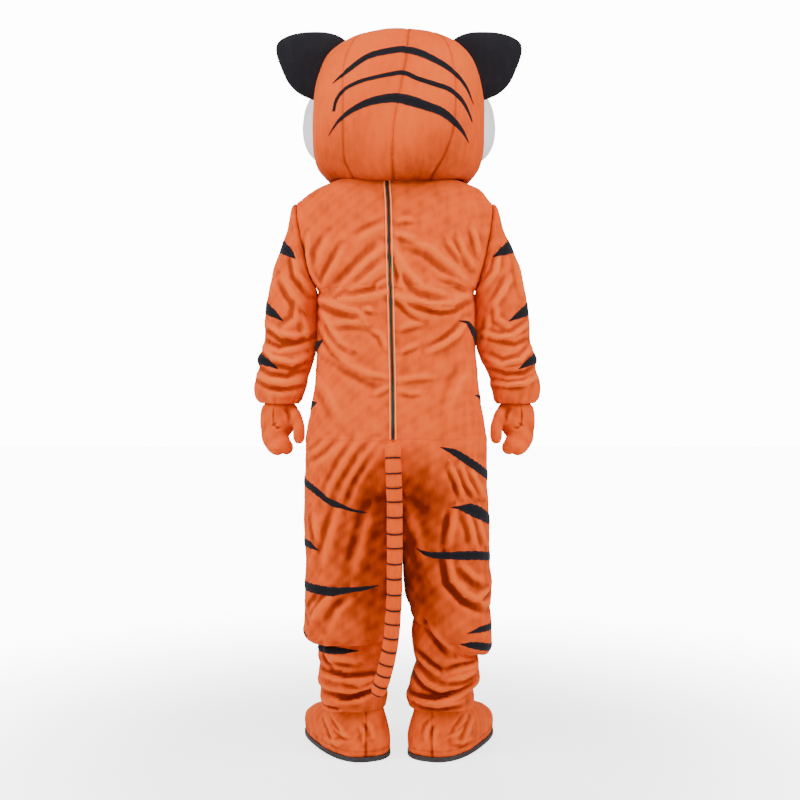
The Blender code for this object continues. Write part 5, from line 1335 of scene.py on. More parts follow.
@dataclass
class Ears:
    """Two stuffed ears: black behind, white in front, sewn on the head's sides."""

    outline: tuple[Point2, ...] = (
        (0.128, 1.838), (0.148, 1.864), (0.182, 1.8775), (0.222, 1.8800), (0.258, 1.8775), (0.290, 1.869),
        (0.312, 1.856), (0.3205, 1.840), (0.3180, 1.815), (0.306, 1.782), (0.290, 1.748), (0.266, 1.722),
        (0.238, 1.707), (0.205, 1.700), (0.166, 1.716), (0.140, 1.768),
    )
    middle: Point2 = (0.225, 1.800)
    seam_y: float = -0.008
    back_depth: float = 0.021
    front_depth: float = 0.013
    points: int = 96
    levels: int = 16

    def edge(self) -> np.ndarray:
        """The ear's edge as a smooth closed line of (x, height)."""
        line = np.array(self.outline + self.outline[:1])
        places = np.arange(len(line))
        slope = (np.roll(line[:-1], -1, axis=0) - np.roll(line[:-1], 1, axis=0)) / 2
        slope = np.concatenate([slope, slope[:1]])
        spots = np.linspace(0, len(line) - 1, self.points, endpoint=False)
        low = spots.astype(int)
        share = (spots - places[low])[:, None]
        square, cube = share ** 2, share ** 3
        return (line[low] * (2 * cube - 3 * square + 1) + slope[low] * (cube - 2 * square + share)
                + line[low + 1] * (3 * square - 2 * cube) + slope[low + 1] * (cube - square))

    def shell(self, side: Side, name: str, depth: float, kind: Any, node: str) -> None:
        """One padded face of an ear.

        Args:
            side: The ear's side.
            name: The piece's name.
            depth: How far its middle stands out along y.
            kind: Its finish.
            node: The CAD node that it stands for.
        """
        edge = self.edge()
        rings = []
        for size in np.linspace(1.0, 0.0, self.levels) ** 0.8:
            rise = (1.0 - size ** 3.0) ** 0.62
            x = mix(self.middle[0], edge[:, 0], size) * side.value
            height = mix(self.middle[1], edge[:, 1], size)
            dimple = 1.0 + 0.06 * np.sin(9 * x + 23 * height) * (1 - size)
            y = self.seam_y + copysign(SEAM_GAP / 2, depth) + depth * rise * dimple
            rings.append(np.stack([x, np.broadcast_to(y, x.shape), height], axis=1))
        flat = [ring * np.array((1.0, 0.0, 1.0)) + np.array((0.0, self.seam_y + copysign(SEAM_GAP / 2, depth), 0.0))
                for ring in rings[::-1]]
        made = new_grid(name, np.array(rings[::-1][:-1] + [rings[0]] + flat[::-1][1:]), closed=True)
        self.close_up(made)
        dress(made, kind, node)

    @staticmethod
    def close_up(made: bpy.types.Object) -> None:
        """Merge a form's poles and turn its faces outward."""
        select_only(made)
        bpy.ops.object.mode_set(mode="EDIT")
        bpy.ops.mesh.select_all(action="SELECT")
        bpy.ops.mesh.remove_doubles(threshold=0.00002)
        bpy.ops.mesh.dissolve_degenerate(threshold=0.00001)
        bpy.ops.mesh.select_all(action="SELECT")
        bpy.ops.mesh.normals_make_consistent(inside=False)
        bpy.ops.object.mode_set(mode="OBJECT")

    def build(self) -> None:
        """Make both ears."""
        for side in Side:
            self.shell(side, "ear_black_" + side.word, self.back_depth, BLACK, "ear_back_" + side.word)
            self.shell(side, "ear_white_" + side.word, -self.front_depth, WHITE, "ear_front_" + side.word)


@dataclass
class Face3D:
    """The plain front of the head: muzzle, chin, nose, eyes and the two plush cheeks."""

    muzzle: tuple[Sequence[float], Sequence[float]] = ((0.0, -0.232, 1.572), (0.108, 0.072, 0.072))
    chin: tuple[Sequence[float], Sequence[float]] = ((0.0, -0.214, 1.492), (0.062, 0.050, 0.030))
    nose: tuple[Sequence[float], Sequence[float]] = ((0.0, -0.302, 1.604), (0.031, 0.016, 0.021))
    eye: tuple[Sequence[float], Sequence[float]] = ((0.078, -0.212, 1.700), (0.026, 0.020, 0.036))
    cheek_rows: tuple[tuple[float, ...], ...] = (
        (1.545, 0.165, 0.172, -0.105, -0.090), (1.550, 0.150, 0.186, -0.128, -0.072),
        (1.562, 0.140, 0.217, -0.160, -0.052), (1.590, 0.140, 0.246, -0.195, -0.036),
        (1.626, 0.140, 0.258, -0.212, -0.028), (1.667, 0.140, 0.259, -0.216, -0.026),
        (1.708, 0.140, 0.250, -0.208, -0.032), (1.740, 0.140, 0.236, -0.190, -0.048),
        (1.759, 0.150, 0.222, -0.165, -0.075), (1.765, 0.178, 0.196, -0.128, -0.105),
    )

    def ball(self, name: str, place: Sequence[float], half: Sequence[float], kind: Any, node: str,
             shape: Callable[[np.ndarray], np.ndarray] | None = None) -> bpy.types.Object:
        """A rounded pad from a sphere primitive, shaped and placed."""
        bpy.ops.object.select_all(action="DESELECT")
        bpy.ops.mesh.primitive_uv_sphere_add(segments=72, ring_count=48, radius=1.0)
        made = bpy.context.object
        made.name = made.data.name = name
        points = np.zeros(len(made.data.vertices) * 3)
        made.data.vertices.foreach_get("co", points)
        points = points.reshape(-1, 3)
        if shape is not None:
            points = shape(points)
        points = points * np.array(half) + np.array(place) - np.array((0, 0, HOLD_HEIGHT))
        made.data.vertices.foreach_set("co", points.reshape(-1))
        made.data.update()
        store_nap(made, np.clip(points[:, 2] * 0.0, -1, 1))
        return dress(made, kind, node)

    @staticmethod
    def two_lobes(points: np.ndarray) -> np.ndarray:
        """Press a groove down the middle of a muzzle, below the nose."""
        groove = np.exp(-(points[:, 0] / 0.11) ** 2) * np.clip(0.5 - points[:, 2], 0, 1)
        moved = points.copy()
        moved[:, 1] += 0.16 * groove * (points[:, 1] < 0)
        return moved

    @staticmethod
    def nose_shape(points: np.ndarray) -> np.ndarray:
        """Narrow a nose toward its lower end."""
        moved = points.copy()
        moved[:, 0] *= 0.80 + 0.22 * points[:, 2]
        return moved

    def build(self) -> None:
        """Make the pads, the nose and the eyes."""
        self.ball("muzzle_pad", *self.muzzle, WHITE, "muzzle", self.two_lobes)
        self.ball("chin_pad", *self.chin, WHITE, "chin")
        self.ball("nose_button", *self.nose, GLOSS, "nose", self.nose_shape)
        for side in Side:
            (x, y, height), half = self.eye
            self.ball("eye_button_" + side.word, (side.value * x, y, height), half, GLOSS, "eye_" + side.word)
            self.cheek(side)

    def cheek(self, side: Side) -> None:
        """One cheek pad, its plush edge uneven."""
        turns = np.linspace(0, 2 * pi, 72, endpoint=False)
        rings = []
        for height, inner, outer, front, back in self.cheek_rows:
            x = (inner + outer) / 2 + (outer - inner) / 2 * np.cos(turns)
            y = (front + back) / 2 + (back - front) / 2 * np.sin(turns)
            rings.append(np.stack([side.value * x, y, np.full(len(turns), height)], axis=1))
        grid = smooth_rows(np.array(rings), 0.004)
        normals = grid_normals(grid, closed=True)
        tuft = np.sin(70 * grid[..., 2] + 40 * grid[..., 1]) * np.sin(95 * grid[..., 1] - 30 * grid[..., 2])
        grid = grid + normals * (0.0010 * tuft)[..., None]
        caps = [np.repeat(grid[end].mean(axis=0)[None], len(turns), axis=0) for end in (0, -1)]
        grid = np.concatenate([caps[0][None], grid, caps[1][None]])
        made = new_grid("cheek_pad_" + side.word, grid, closed=True)
        Ears.close_up(made)
        dress(made, WHITE, "cheek_" + side.word)


# ---------------------------------------------------------------- shoe covers, gloves and tail
@dataclass
class ShoeCover:
    """A plush shoe cover with a heel seam, a stitched edge and a black sole."""

    side: Side
    heel: Point2 = (0.068, 0.064)
    toe_out: float = 24.0
    sole: float = 0.013
    square: float = 2.6
    rows: tuple[tuple[float, ...], ...] = (
        (0.0133, 0.000, 0.360, 0.0850), (0.020, -0.003, 0.363, 0.0872), (0.032, -0.004, 0.364, 0.0880),
        (0.056, -0.002, 0.358, 0.0870), (0.080, 0.003, 0.318, 0.0790), (0.100, 0.008, 0.250, 0.0690),
        (0.120, 0.012, 0.185, 0.0590), (0.140, 0.016, 0.148, 0.0510),
    )
    columns: int = 150
    creases: tuple[Crease, ...] = (
        Crease(((0.174, 0.100), (0.150, 0.080), (0.138, 0.062)), 0.0060, 0.0040, 0.3),
        Crease(((0.168, 0.076), (0.150, 0.066), (0.128, 0.064)), 0.0055, 0.0034, 0.3),
        Crease(((0.086, 0.104), (0.072, 0.086), (0.066, 0.062)), 0.0060, 0.0032, 0.3),
        Crease(((0.098, 0.090), (0.090, 0.074), (0.088, 0.050)), 0.0060, 0.0024, 0.3),
        Crease(((0.196, 0.090), (0.176, 0.064), (0.166, 0.040)), 0.0075, 0.0034, 0.3),
        Crease(((0.140, 0.050), (0.164, 0.040), (0.190, 0.042)), 0.0065, 0.0024, 0.3),
    )

    def ring(self, row: tuple[float, ...], grow: float = 0.0) -> np.ndarray:
        """A level section, turned out about its heel."""
        height, heel, toe, half_width = row
        length, middle = (toe - heel) / 2 + grow, (toe + heel) / 2
        turns = np.linspace(0, 2 * pi, self.columns, endpoint=False)
        shape = 2 / self.square
        forward = middle + length * np.sign(np.cos(turns)) * np.abs(np.cos(turns)) ** shape
        across = (half_width + grow) * np.sign(np.sin(turns)) * np.abs(np.sin(turns)) ** shape
        swing = radians(self.toe_out)
        return np.stack([self.side.value * (self.heel[0] + forward * sin(swing) + across * cos(swing)),
                         self.heel[1] - forward * cos(swing) + across * sin(swing),
                         np.full(len(turns), height)], axis=1)

    def build(self) -> None:
        """Make the cover and its sole."""
        rings = [self.ring(row) for row in self.rows]
        rings = [even_columns(np.concatenate([ring, ring[:1]])[None], np.zeros((1, len(ring) + 1)),
                              len(ring))[0][0, :-1] for ring in rings]
        flat = smooth_rows(np.array(rings), 0.0032)
        normals = grid_normals(flat, closed=True)
        lines = [crease if self.side is Side.LEFT else crease.mirrored() for crease in self.creases]
        moved, nap = creased(flat, normals, facing_creases(flat, lines, lines), 0.0008, 4.0)
        heel_x = self.side.value * (self.heel[0] + 0.016)
        seam = np.exp(-((flat[..., 0] - heel_x) / 0.0022) ** 2) * (flat[..., 1] > self.heel[1] - 0.06)
        stitched = np.exp(-((flat[..., 2] - 0.0275) / 0.0016) ** 2)
        moved -= normals * (0.0013 * seam + 0.0011 * stitched)[..., None]
        # painted shade in the heel seam and the stitched groove
        nap = nap - 0.9 * seam - 0.7 * stitched
        made = new_grid("shoe_cover_" + self.side.word, moved, closed=True, nap=nap, normals=normals)
        thicken(made, 0.0028)
        dress(made, ORANGE, "shoe_" + self.side.word)
        self.build_sole()

    def build_sole(self) -> None:
        """The sole: a thin slab with rounded edges and a shallow groove round it."""
        ground = self.rows[0][1:]
        profile = ((0.0, 0.0), (0.0, 0.0015), (0.0012, 0.0034), (0.0030, 0.0040), (0.0058, 0.0038),
                   (0.0066, 0.0033), (0.0074, 0.0038), (0.0112, 0.0040), (0.0126, 0.0034), (self.sole, 0.0016))
        rings = [self.ring((height, *ground), grow) for height, grow in profile]
        closed = [np.repeat(rings[end].mean(axis=0)[None], self.columns, axis=0) for end in (0, -1)]
        made = new_grid("shoe_sole_" + self.side.word, np.array([closed[0], *rings, closed[1]]), closed=True)
        Ears.close_up(made)
        dress(made, SOLE, "sole_" + self.side.word, smooth=35.0)


@dataclass
class Glove:
    """A plush glove with three curled fingers and a thumb, open at the wrist."""

    side: Side
    shift: float = 0.0075
    voxel: float = 0.0028
    palm: tuple[tuple[float, ...], ...] = (
        (0.3105, -0.004, 0.958, 0.0325, 0.0295), (0.3105, -0.004, 0.946, 0.0330, 0.0300),
        (0.3105, -0.004, 0.914, 0.0350, 0.0315), (0.3100, -0.003, 0.902, 0.0460, 0.0345),
        (0.3100, -0.001, 0.886, 0.0500, 0.0360), (0.3110, 0.001, 0.864, 0.0500, 0.0360),
        (0.3160, 0.004, 0.840, 0.0410, 0.0330), (0.3170, 0.009, 0.822, 0.0290, 0.0250),
    )
    fingers: tuple[tuple[float, tuple[tuple[float, float, float], ...]], ...] = (
        (0.0212, ((0.337, 0.002, 0.858), (0.334, 0.016, 0.824), (0.315, 0.036, 0.800), (0.296, 0.046, 0.793))),
        (0.0192, ((0.313, 0.004, 0.856), (0.305, 0.022, 0.824), (0.290, 0.040, 0.799), (0.279, 0.050, 0.789))),
        (0.0182, ((0.306, -0.008, 0.850), (0.302, 0.000, 0.816), (0.292, 0.014, 0.799), (0.284, 0.026, 0.793))),
        (0.0158, ((0.290, 0.004, 0.902), (0.269, 0.022, 0.882), (0.2575, 0.034, 0.848), (0.2570, 0.038, 0.808))),
    )
    puckers: tuple[Crease, ...] = (
        Crease(((0.322, 0.905), (0.324, 0.880), (0.322, 0.856)), 0.0030, -0.0024, 0.0),
        Crease(((0.322, 0.856), (0.312, 0.848), (0.304, 0.850)), 0.0042, -0.0030, 0.0),
        Crease(((0.330, 0.852), (0.322, 0.856), (0.314, 0.862)), 0.0040, -0.0022, 0.0),
        Crease(((0.292, 0.900), (0.284, 0.884), (0.282, 0.866)), 0.0060, -0.0020, 0.0),
    )

    def tube(self, points: Sequence[Sequence[float]], radius: float) -> Grid:
        """A round-ended tube along a smooth bent line."""
        line = smooth_rows(np.array(points)[:, None, :], 0.004)[:, 0]
        along = np.gradient(line, axis=0)
        along /= np.linalg.norm(along, axis=1, keepdims=True)
        turns = np.linspace(0, 2 * pi, 28, endpoint=False)
        run = np.linspace(0.0, 1.0, len(line))
        rings = []
        for point, step, place in zip(line, along, run):
            out = np.cross(step, (1.0, 0.0, 0.0))
            out /= np.linalg.norm(out)
            cross = np.cross(step, out)
            end = min(1.0, (1.02 - place) / 0.22)
            size = radius * (1 - (1 - end) ** 2.4) ** 0.5 if end < 1 else radius
            rings.append(point + size * (np.outer(np.cos(turns), out) + np.outer(np.sin(turns), cross)))
        return np.array([np.repeat(line[0][None], 28, axis=0)] + rings + [np.repeat(line[-1][None], 28, axis=0)])

    def build(self) -> None:
        """Join the palm and fingers, soften them into one skin, open the wrist and give it its wall."""
        turns = np.linspace(0, 2 * pi, 48, endpoint=False)
        palm = smooth_rows(np.array([np.stack([x + wide * np.cos(turns), y + deep * np.sin(turns),
                                               np.full(len(turns), height)], axis=1)
                                     for x, y, height, wide, deep in self.palm]), 0.004)
        caps = [palm[end].mean(axis=0) for end in (0, -1)]
        palm = np.concatenate([np.repeat(caps[0][None, None], 48, axis=1), palm,
                               np.repeat((caps[1] - (0, 0, 0.008))[None, None], 48, axis=1)])
        forms = [new_grid("hand_form", palm, closed=True)]
        forms += [new_grid("finger_form", self.tube(points, radius), closed=True) for radius, points in self.fingers]
        for form in forms:
            Ears.close_up(form)
        bpy.ops.object.select_all(action="DESELECT")
        for form in forms:
            form.select_set(True)
        bpy.context.view_layer.objects.active = forms[0]
        bpy.ops.object.join()
        made = bpy.context.object
        made.name = made.data.name = "plush_glove_" + self.side.word
        apply_modifier(made, "REMESH", mode="VOXEL", voxel_size=self.voxel, use_smooth_shade=True)
        apply_modifier(made, "SMOOTH", factor=0.6, iterations=7)
        points = np.zeros(len(made.data.vertices) * 3)
        normals = np.zeros(len(made.data.vertices) * 3)
        made.data.vertices.foreach_get("co", points)
        made.data.vertices.foreach_get("normal", normals)
        points, normals = points.reshape(-1, 3), normals.reshape(-1, 3)
        height = points[:, 2] + HOLD_HEIGHT
        lift = np.zeros(len(points))
        for crease in self.puckers:
            lift += crease.raised(points[:, 0], height) * np.clip(points[:, 1] / 0.012, 0, 1)
        wrist = np.exp(-((height - 0.915) / 0.010) ** 2)
        lift += wrist * 0.0008 * np.sin(34 * np.arctan2(points[:, 1] + 0.004, points[:, 0] - 0.31))
        lift += 0.0007 * np.sin(90 * points[:, 0] + 60 * height) * np.sin(80 * points[:, 1] - 50 * height)
        points += normals * lift[:, None]
        # painted shading: darker in the puckers and toward the lower end of the hand at the curled fingers, lighter
        # where the cloth is raised
        glove_painted_shading = np.clip(lift / 0.0016, -1, 0.6) * 0.8 - 0.5 * np.clip((0.870 - height) / 0.06, 0, 1) * (points[:, 1] < 0.03)
        points[:, 0] = self.side.value * (points[:, 0] - (0.0 if self.side is Side.LEFT else self.shift))
        made.data.vertices.foreach_set("co", points.reshape(-1))
        store_nap(made, glove_painted_shading)
        made.data.update()
        select_only(made)
        bpy.ops.object.mode_set(mode="EDIT")
        bpy.ops.mesh.select_all(action="SELECT")
        if self.side is Side.RIGHT:
            bpy.ops.mesh.flip_normals()
        bpy.ops.mesh.bisect(plane_co=(0, 0, 0.948 - HOLD_HEIGHT), plane_no=(0, 0, 1), clear_outer=True,
                            use_fill=False)
        bpy.ops.object.mode_set(mode="OBJECT")
        thicken(made, 0.0016)
        dress(made, ORANGE, "glove_" + self.side.word)


@dataclass
class Tail:
    """The stuffed tail with its thin black rings, plump between them."""

    points: tuple[tuple[float, float, float], ...] = (
        (0.0145, 0.1730, 0.812), (0.0150, 0.1820, 0.785), (0.0130, 0.1825, 0.740), (0.0110, 0.1800, 0.680),
        (0.0105, 0.1760, 0.600), (0.0105, 0.1720, 0.520), (0.0115, 0.1680, 0.440), (0.0160, 0.1640, 0.365),
        (0.0240, 0.1600, 0.300), (0.0375, 0.1540, 0.243), (0.0480, 0.1490, 0.208), (0.0560, 0.1450, 0.186),
    )
    radius: float = 0.0195
    ring_heights: tuple[float, ...] = (0.778, 0.741, 0.707, 0.672, 0.634, 0.594, 0.558, 0.520, 0.483, 0.443,
                                       0.406, 0.371, 0.335, 0.304, 0.270, 0.243, 0.217, 0.193)
    ring_half: float = 0.0019
    columns: int = 36

    def build(self) -> None:
        """Make the tube and the rings round it."""
        line = smooth_rows(np.array(self.points)[:, None, :], 0.0022)[:, 0]
        run = np.concatenate([[0.0], np.cumsum(np.linalg.norm(np.diff(line, axis=0), axis=1))])
        along = np.gradient(line, axis=0)
        along /= np.linalg.norm(along, axis=1, keepdims=True)
        out = np.cross(along, np.array((1.0, 0.0, 0.0)))
        out /= np.linalg.norm(out, axis=1, keepdims=True)
        cross = np.cross(along, out)
        turns = np.linspace(0, 2 * pi, self.columns, endpoint=False)
        order = np.argsort(line[:, 2])
        places = np.interp(self.ring_heights, line[order, 2], run[order])
        gap = np.abs(run[:, None] - places[None]).min(axis=1)
        size = self.radius * (1.0 - 0.045 * np.exp(-(gap / 0.0035) ** 2))
        tip, root = 0.024, 0.020
        size *= np.sqrt(np.clip(1 - (1 - np.clip((run[-1] + 0.002 - run) / tip, 0, 1)) ** 2, 0.0, 1))
        size *= np.sqrt(np.clip(1 - 0.8 * (1 - np.clip((run + 0.004) / root, 0, 1)) ** 2, 0.0, 1))
        circle = np.cos(turns)[None, :, None] * out[:, None] + np.sin(turns)[None, :, None] * cross[:, None]
        uneven = 1 + 0.012 * np.sin(3 * turns[None] + run[:, None] * 60) + 0.01 * np.sin(run[:, None] * 130)
        grid = line[:, None] + circle * (size[:, None] * uneven)[..., None]
        # painted shade in the pinched grooves at the black rings
        nap = np.repeat((-0.7 * np.exp(-(gap / 0.004) ** 2))[:, None], self.columns, axis=1)
        caps = [np.repeat(line[end][None, None], self.columns, axis=1) for end in (0, -1)]
        tube = new_grid("stuffed_tail", np.concatenate([caps[0], grid, caps[1]]), closed=True,
                        nap=np.concatenate([nap[:1], nap, nap[-1:]]))
        Ears.close_up(tube)
        dress(tube, ORANGE, "tail")
        rings = []
        for number, place in enumerate(places):
            tilt = 0.0012 * sin(number * 2.3)
            rows = []
            for offset, rise in ((-1.0, -0.0012), (-0.9, 0.0004), (-0.4, 0.0010), (0.4, 0.0010), (0.9, 0.0004),
                                 (1.0, -0.0012)):
                spot = place + offset * self.ring_half + tilt * np.cos(turns)
                centre = np.stack([np.interp(spot, run, line[:, axis]) for axis in range(3)], axis=1)
                reach = np.interp(spot, run, size) * (1 + 0.012 * np.sin(3 * turns + spot * 60)) + rise
                index = int(np.argmin(np.abs(run - place)))
                rows.append(centre + circle[index] * reach[:, None])
            ring = new_grid("tail_ring", np.array(rows), closed=True)
            Ears.close_up(ring)
            rings.append(ring)
        bpy.ops.object.select_all(action="DESELECT")
        for ring in rings:
            ring.select_set(True)
        bpy.context.view_layer.objects.active = rings[0]
        bpy.ops.object.join()
        rings[0].name = rings[0].data.name = "tail_rings"
        dress(rings[0], BLACK)


# ---------------------------------------------------------------- the zip
@dataclass
class Zip:
    """The centre-back zip: tape, two rows of teeth, and the panels' turned edges beside them."""

    top: float = 1.512
    bottom: float = 0.816
    tape_half: float = 0.0112
    depth: float = 0.0032
    pitch: float = 0.0024
    facing: float = 0.0024

    def line(self, suit: Suit) -> tuple[Grid, Grid, Grid]:
        """The zip's middle line with its outward and sideways directions."""
        keep = (suit.back_middle[:, 2] <= self.top) & (suit.back_middle[:, 2] >= self.bottom)
        points, outs = suit.back_middle[keep], suit.back_normals[keep].copy()
        outs[:, 0] *= 0.2
        outs /= np.linalg.norm(outs, axis=1, keepdims=True)
        across = np.stack([outs[:, 1], -outs[:, 0], np.zeros(len(outs))], axis=1)
        return points, outs, across / np.linalg.norm(across, axis=1, keepdims=True)

    def strip(self, name: str, suit: Suit, profile: Sequence[Point2], kind: Any, *nodes: str) -> bpy.types.Object:
        """A closed strip along the zip from a profile of (across, out) points."""
        points, outs, across = self.line(suit)
        grid = np.array([[point + side * x + out * lift for x, lift in profile]
                         for point, out, side in zip(points, outs, across)])
        caps = [np.repeat(grid[end].mean(axis=0)[None, None], grid.shape[1], axis=1) for end in (0, -1)]
        made = new_grid(name, np.concatenate([caps[0], grid, caps[1]]), closed=True)
        Ears.close_up(made)
        return dress(made, kind, *nodes, smooth=40.0)

    def build(self, suit: Suit) -> None:
        """Make the tape, the teeth and the two turned edges."""
        low = -self.depth
        self.strip("zip_tape_strip", suit, ((-self.tape_half, low), (-0.0034, low + 0.0006), (0.0034, low + 0.0006),
                                            (self.tape_half, low), (self.tape_half, low - 0.001),
                                            (-self.tape_half, low - 0.001)), TAPE, "zip")
        for side in Side:
            middle = side.value * (ZIP_HALF_OPEN - 0.0004)
            edge = [(middle + self.facing / 2 * 1.15 * cos(turn), 0.0004 + 0.0024 * sin(turn))
                    for turn in np.linspace(0, 2 * pi, 10, endpoint=False)]
            # the turned edges get the paler copy of the orange plush as painted highlight
            self.strip("zip_edge_" + side.word, suit, edge, ORANGE_HIGHLIT)
        points, outs, across = self.line(suit)
        run = np.concatenate([[0.0], np.cumsum(np.linalg.norm(np.diff(points, axis=0), axis=1))])
        tooth = ((-0.0005, -0.0008), (0.0026, -0.0008), (0.0030, 0.0), (0.0026, 0.0008), (-0.0005, 0.0008))
        made = bmesh.new()
        for number in range(int(run[-1] / self.pitch)):
            place = number * self.pitch
            centre, out, side = (np.array([np.interp(place, run, source[:, axis]) for axis in range(3)])
                                 for source in (points, outs, across))
            along = np.cross(side, out)
            sign = 1 if number % 2 else -1
            rows = []
            for lift in (low + 0.0004, low + 0.0019):
                rows.append([made.verts.new(Vector(centre + side * x * sign + along * z + out * lift)
                                            - Vector((0, 0, HOLD_HEIGHT))) for x, z in tooth])
            for first in range(len(tooth)):
                second = (first + 1) % len(tooth)
                made.faces.new((rows[0][first], rows[0][second], rows[1][second], rows[1][first]))
            made.faces.new(rows[0][::-1])
            made.faces.new(rows[1])
        bmesh.ops.recalc_face_normals(made, faces=made.faces)
        mesh = bpy.data.meshes.new("zip_teeth")
        made.to_mesh(mesh)
        made.free()
        teeth = bpy.data.objects.new("zip_teeth", mesh)
        bpy.context.scene.collection.objects.link(teeth)
        dress(teeth, TEETH, smooth=30.0)


def keep_metal() -> None:
    """Give the slider and its pull tab their finish; their CAD shapes stay."""
    for name in ("zip_slider", "zip_pull"):
        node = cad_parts[name]
        node = node if isinstance(node, bpy.types.Object) else bpy.data.objects[name]
        for place in node.material_slots:
            place.material = finish(STEEL)
        if not node.material_slots:
            node.data.materials.append(finish(STEEL))


# ---------------------------------------------------------------- stripes
@dataclass
class Stripes:
    """Every black stripe: places as degrees round from the outer side toward the back, height, half width."""

    tip: float = 0.0007
    legs: dict[tuple[str, int], tuple[float, tuple[tuple[float, float, float], ...]]] = field(default_factory=lambda: {
        ("left", 1): (60, ((20, 0.712, 0.0098), (75, 0.683, 0.0100), (94, 0.657, 0.0085), (106, 0.645, 0.0048),
                           (120, 0.640, 0.0007))),
        ("left", 2): (45, ((4, 0.556, 0.0115), (36, 0.554, 0.0092), (52, 0.543, 0.0007))),
        ("left", 3): (60, ((3, 0.448, 0.0100), (52, 0.444, 0.0118), (71, 0.442, 0.0112), (86, 0.446, 0.0075),
                           (98, 0.452, 0.0045), (110, 0.458, 0.0007))),
        ("left", 4): (30, ((6, 0.328, 0.0070), (30, 0.320, 0.0007))),
        ("left", 5): (40, ((0, 0.284, 0.0060), (34, 0.286, 0.0076), (60, 0.288, 0.0090), (76, 0.288, 0.0068),
                           (92, 0.289, 0.0007))),
        ("right", 1): (55, ((8, 0.726, 0.0112), (66, 0.751, 0.0118), (94, 0.774, 0.0106), (110, 0.789, 0.0088),
                            (131, 0.803, 0.0007))),
        ("right", 2): (50, ((3, 0.612, 0.0125), (57, 0.639, 0.0148), (77, 0.650, 0.0115), (94, 0.653, 0.0007))),
        ("right", 3): (60, ((5, 0.519, 0.0100), (55, 0.531, 0.0112), (76, 0.533, 0.0108), (96, 0.535, 0.0074),
                            (115, 0.552, 0.0007))),
        ("right", 4): (40, ((3, 0.342, 0.0100), (52, 0.344, 0.0072), (74, 0.339, 0.0007))),
        ("right", 5): (35, ((9, 0.288, 0.0085), (51, 0.302, 0.0100), (68, 0.309, 0.0080), (82, 0.312, 0.0007))),
    })
    sleeves: dict[tuple[str, int], tuple[float, tuple[tuple[float, float, float], ...]]] = field(default_factory=lambda: {
        ("left", 1): (45, ((10, 1.318, 0.0165), (59, 1.294, 0.0088), (79, 1.278, 0.0007))),
        ("left", 2): (45, ((5, 1.161, 0.0165), (53, 1.140, 0.0088), (77, 1.121, 0.0007))),
        ("left", 3): (45, ((5, 1.029, 0.0160), (58, 1.014, 0.0086), (83, 0.999, 0.0007))),
        ("right", 1): (45, ((7, 1.319, 0.0175), (57, 1.298, 0.0092), (84, 1.283, 0.0007))),
        ("right", 2): (45, ((5, 1.158, 0.0175), (52, 1.138, 0.0092), (80, 1.120, 0.0007))),
        ("right", 3): (45, ((5, 1.029, 0.0160), (54, 1.015, 0.0086), (82, 0.999, 0.0007))),
    })
    waist: dict[tuple[str, int], tuple[float, tuple[tuple[float, float, float], ...]]] = field(default_factory=lambda: {
        ("left", 1): (25, ((2, 1.058, 0.0140), (20, 1.065, 0.0075), (28, 1.074, 0.0007))),
        ("left", 2): (25, ((3, 0.905, 0.0120), (14, 0.909, 0.0090), (25, 0.913, 0.0007))),
        ("right", 1): (30, ((1, 1.078, 0.0190), (20, 1.099, 0.0110), (31, 1.116, 0.0045), (42, 1.120, 0.0007))),
        ("right", 2): (25, ((1, 0.924, 0.0110), (12, 0.928, 0.0064), (24, 0.932, 0.0007))),
    })
    head: dict[str, tuple[tuple[float, float, float], ...]] = field(default_factory=lambda: {
        "crown": ((0.166, 1.711, 0.0007), (0.127, 1.736, 0.0060), (0.078, 1.767, 0.0075), (0.035, 1.778, 0.0088),
                  (-0.009, 1.785, 0.0090), (-0.045, 1.778, 0.0098), (-0.086, 1.761, 0.0088),
                  (-0.119, 1.745, 0.0074), (-0.146, 1.727, 0.0056), (-0.168, 1.702, 0.0038),
                  (-0.188, 1.664, 0.0007)),
        "middle": ((0.162, 1.638, 0.0036), (0.156, 1.664, 0.0040), (0.142, 1.684, 0.0045),
                   (0.101, 1.702, 0.0047), (0.061, 1.711, 0.0048), (0.021, 1.718, 0.0053),
                   (-0.009, 1.722, 0.0060), (-0.045, 1.708, 0.0057), (-0.086, 1.697, 0.0060),
                   (-0.127, 1.686, 0.0062), (-0.155, 1.666, 0.0054), (-0.174, 1.639, 0.0033),
                   (-0.183, 1.618, 0.0015)),
        "lower": ((0.176, 1.582, 0.0007), (0.155, 1.607, 0.0032), (0.128, 1.627, 0.0060), (0.092, 1.644, 0.0082),
                  (0.045, 1.655, 0.0102), (0.005, 1.658, 0.0117), (-0.033, 1.650, 0.0127),
                  (-0.071, 1.639, 0.0110), (-0.105, 1.629, 0.0104), (-0.132, 1.613, 0.0088),
                  (-0.159, 1.588, 0.0045), (-0.175, 1.565, 0.0007)),
    })

    def wrapped(self, stations: tuple[tuple[float, float, float], ...], wrap: float) -> list[tuple[float, float, float]]:
        """A stripe's stations with its end on the front added."""
        _, height, half = stations[0]
        return [(-wrap, height + 0.008, self.tip), (-wrap / 2, height + 0.004, half * 0.75), *stations]

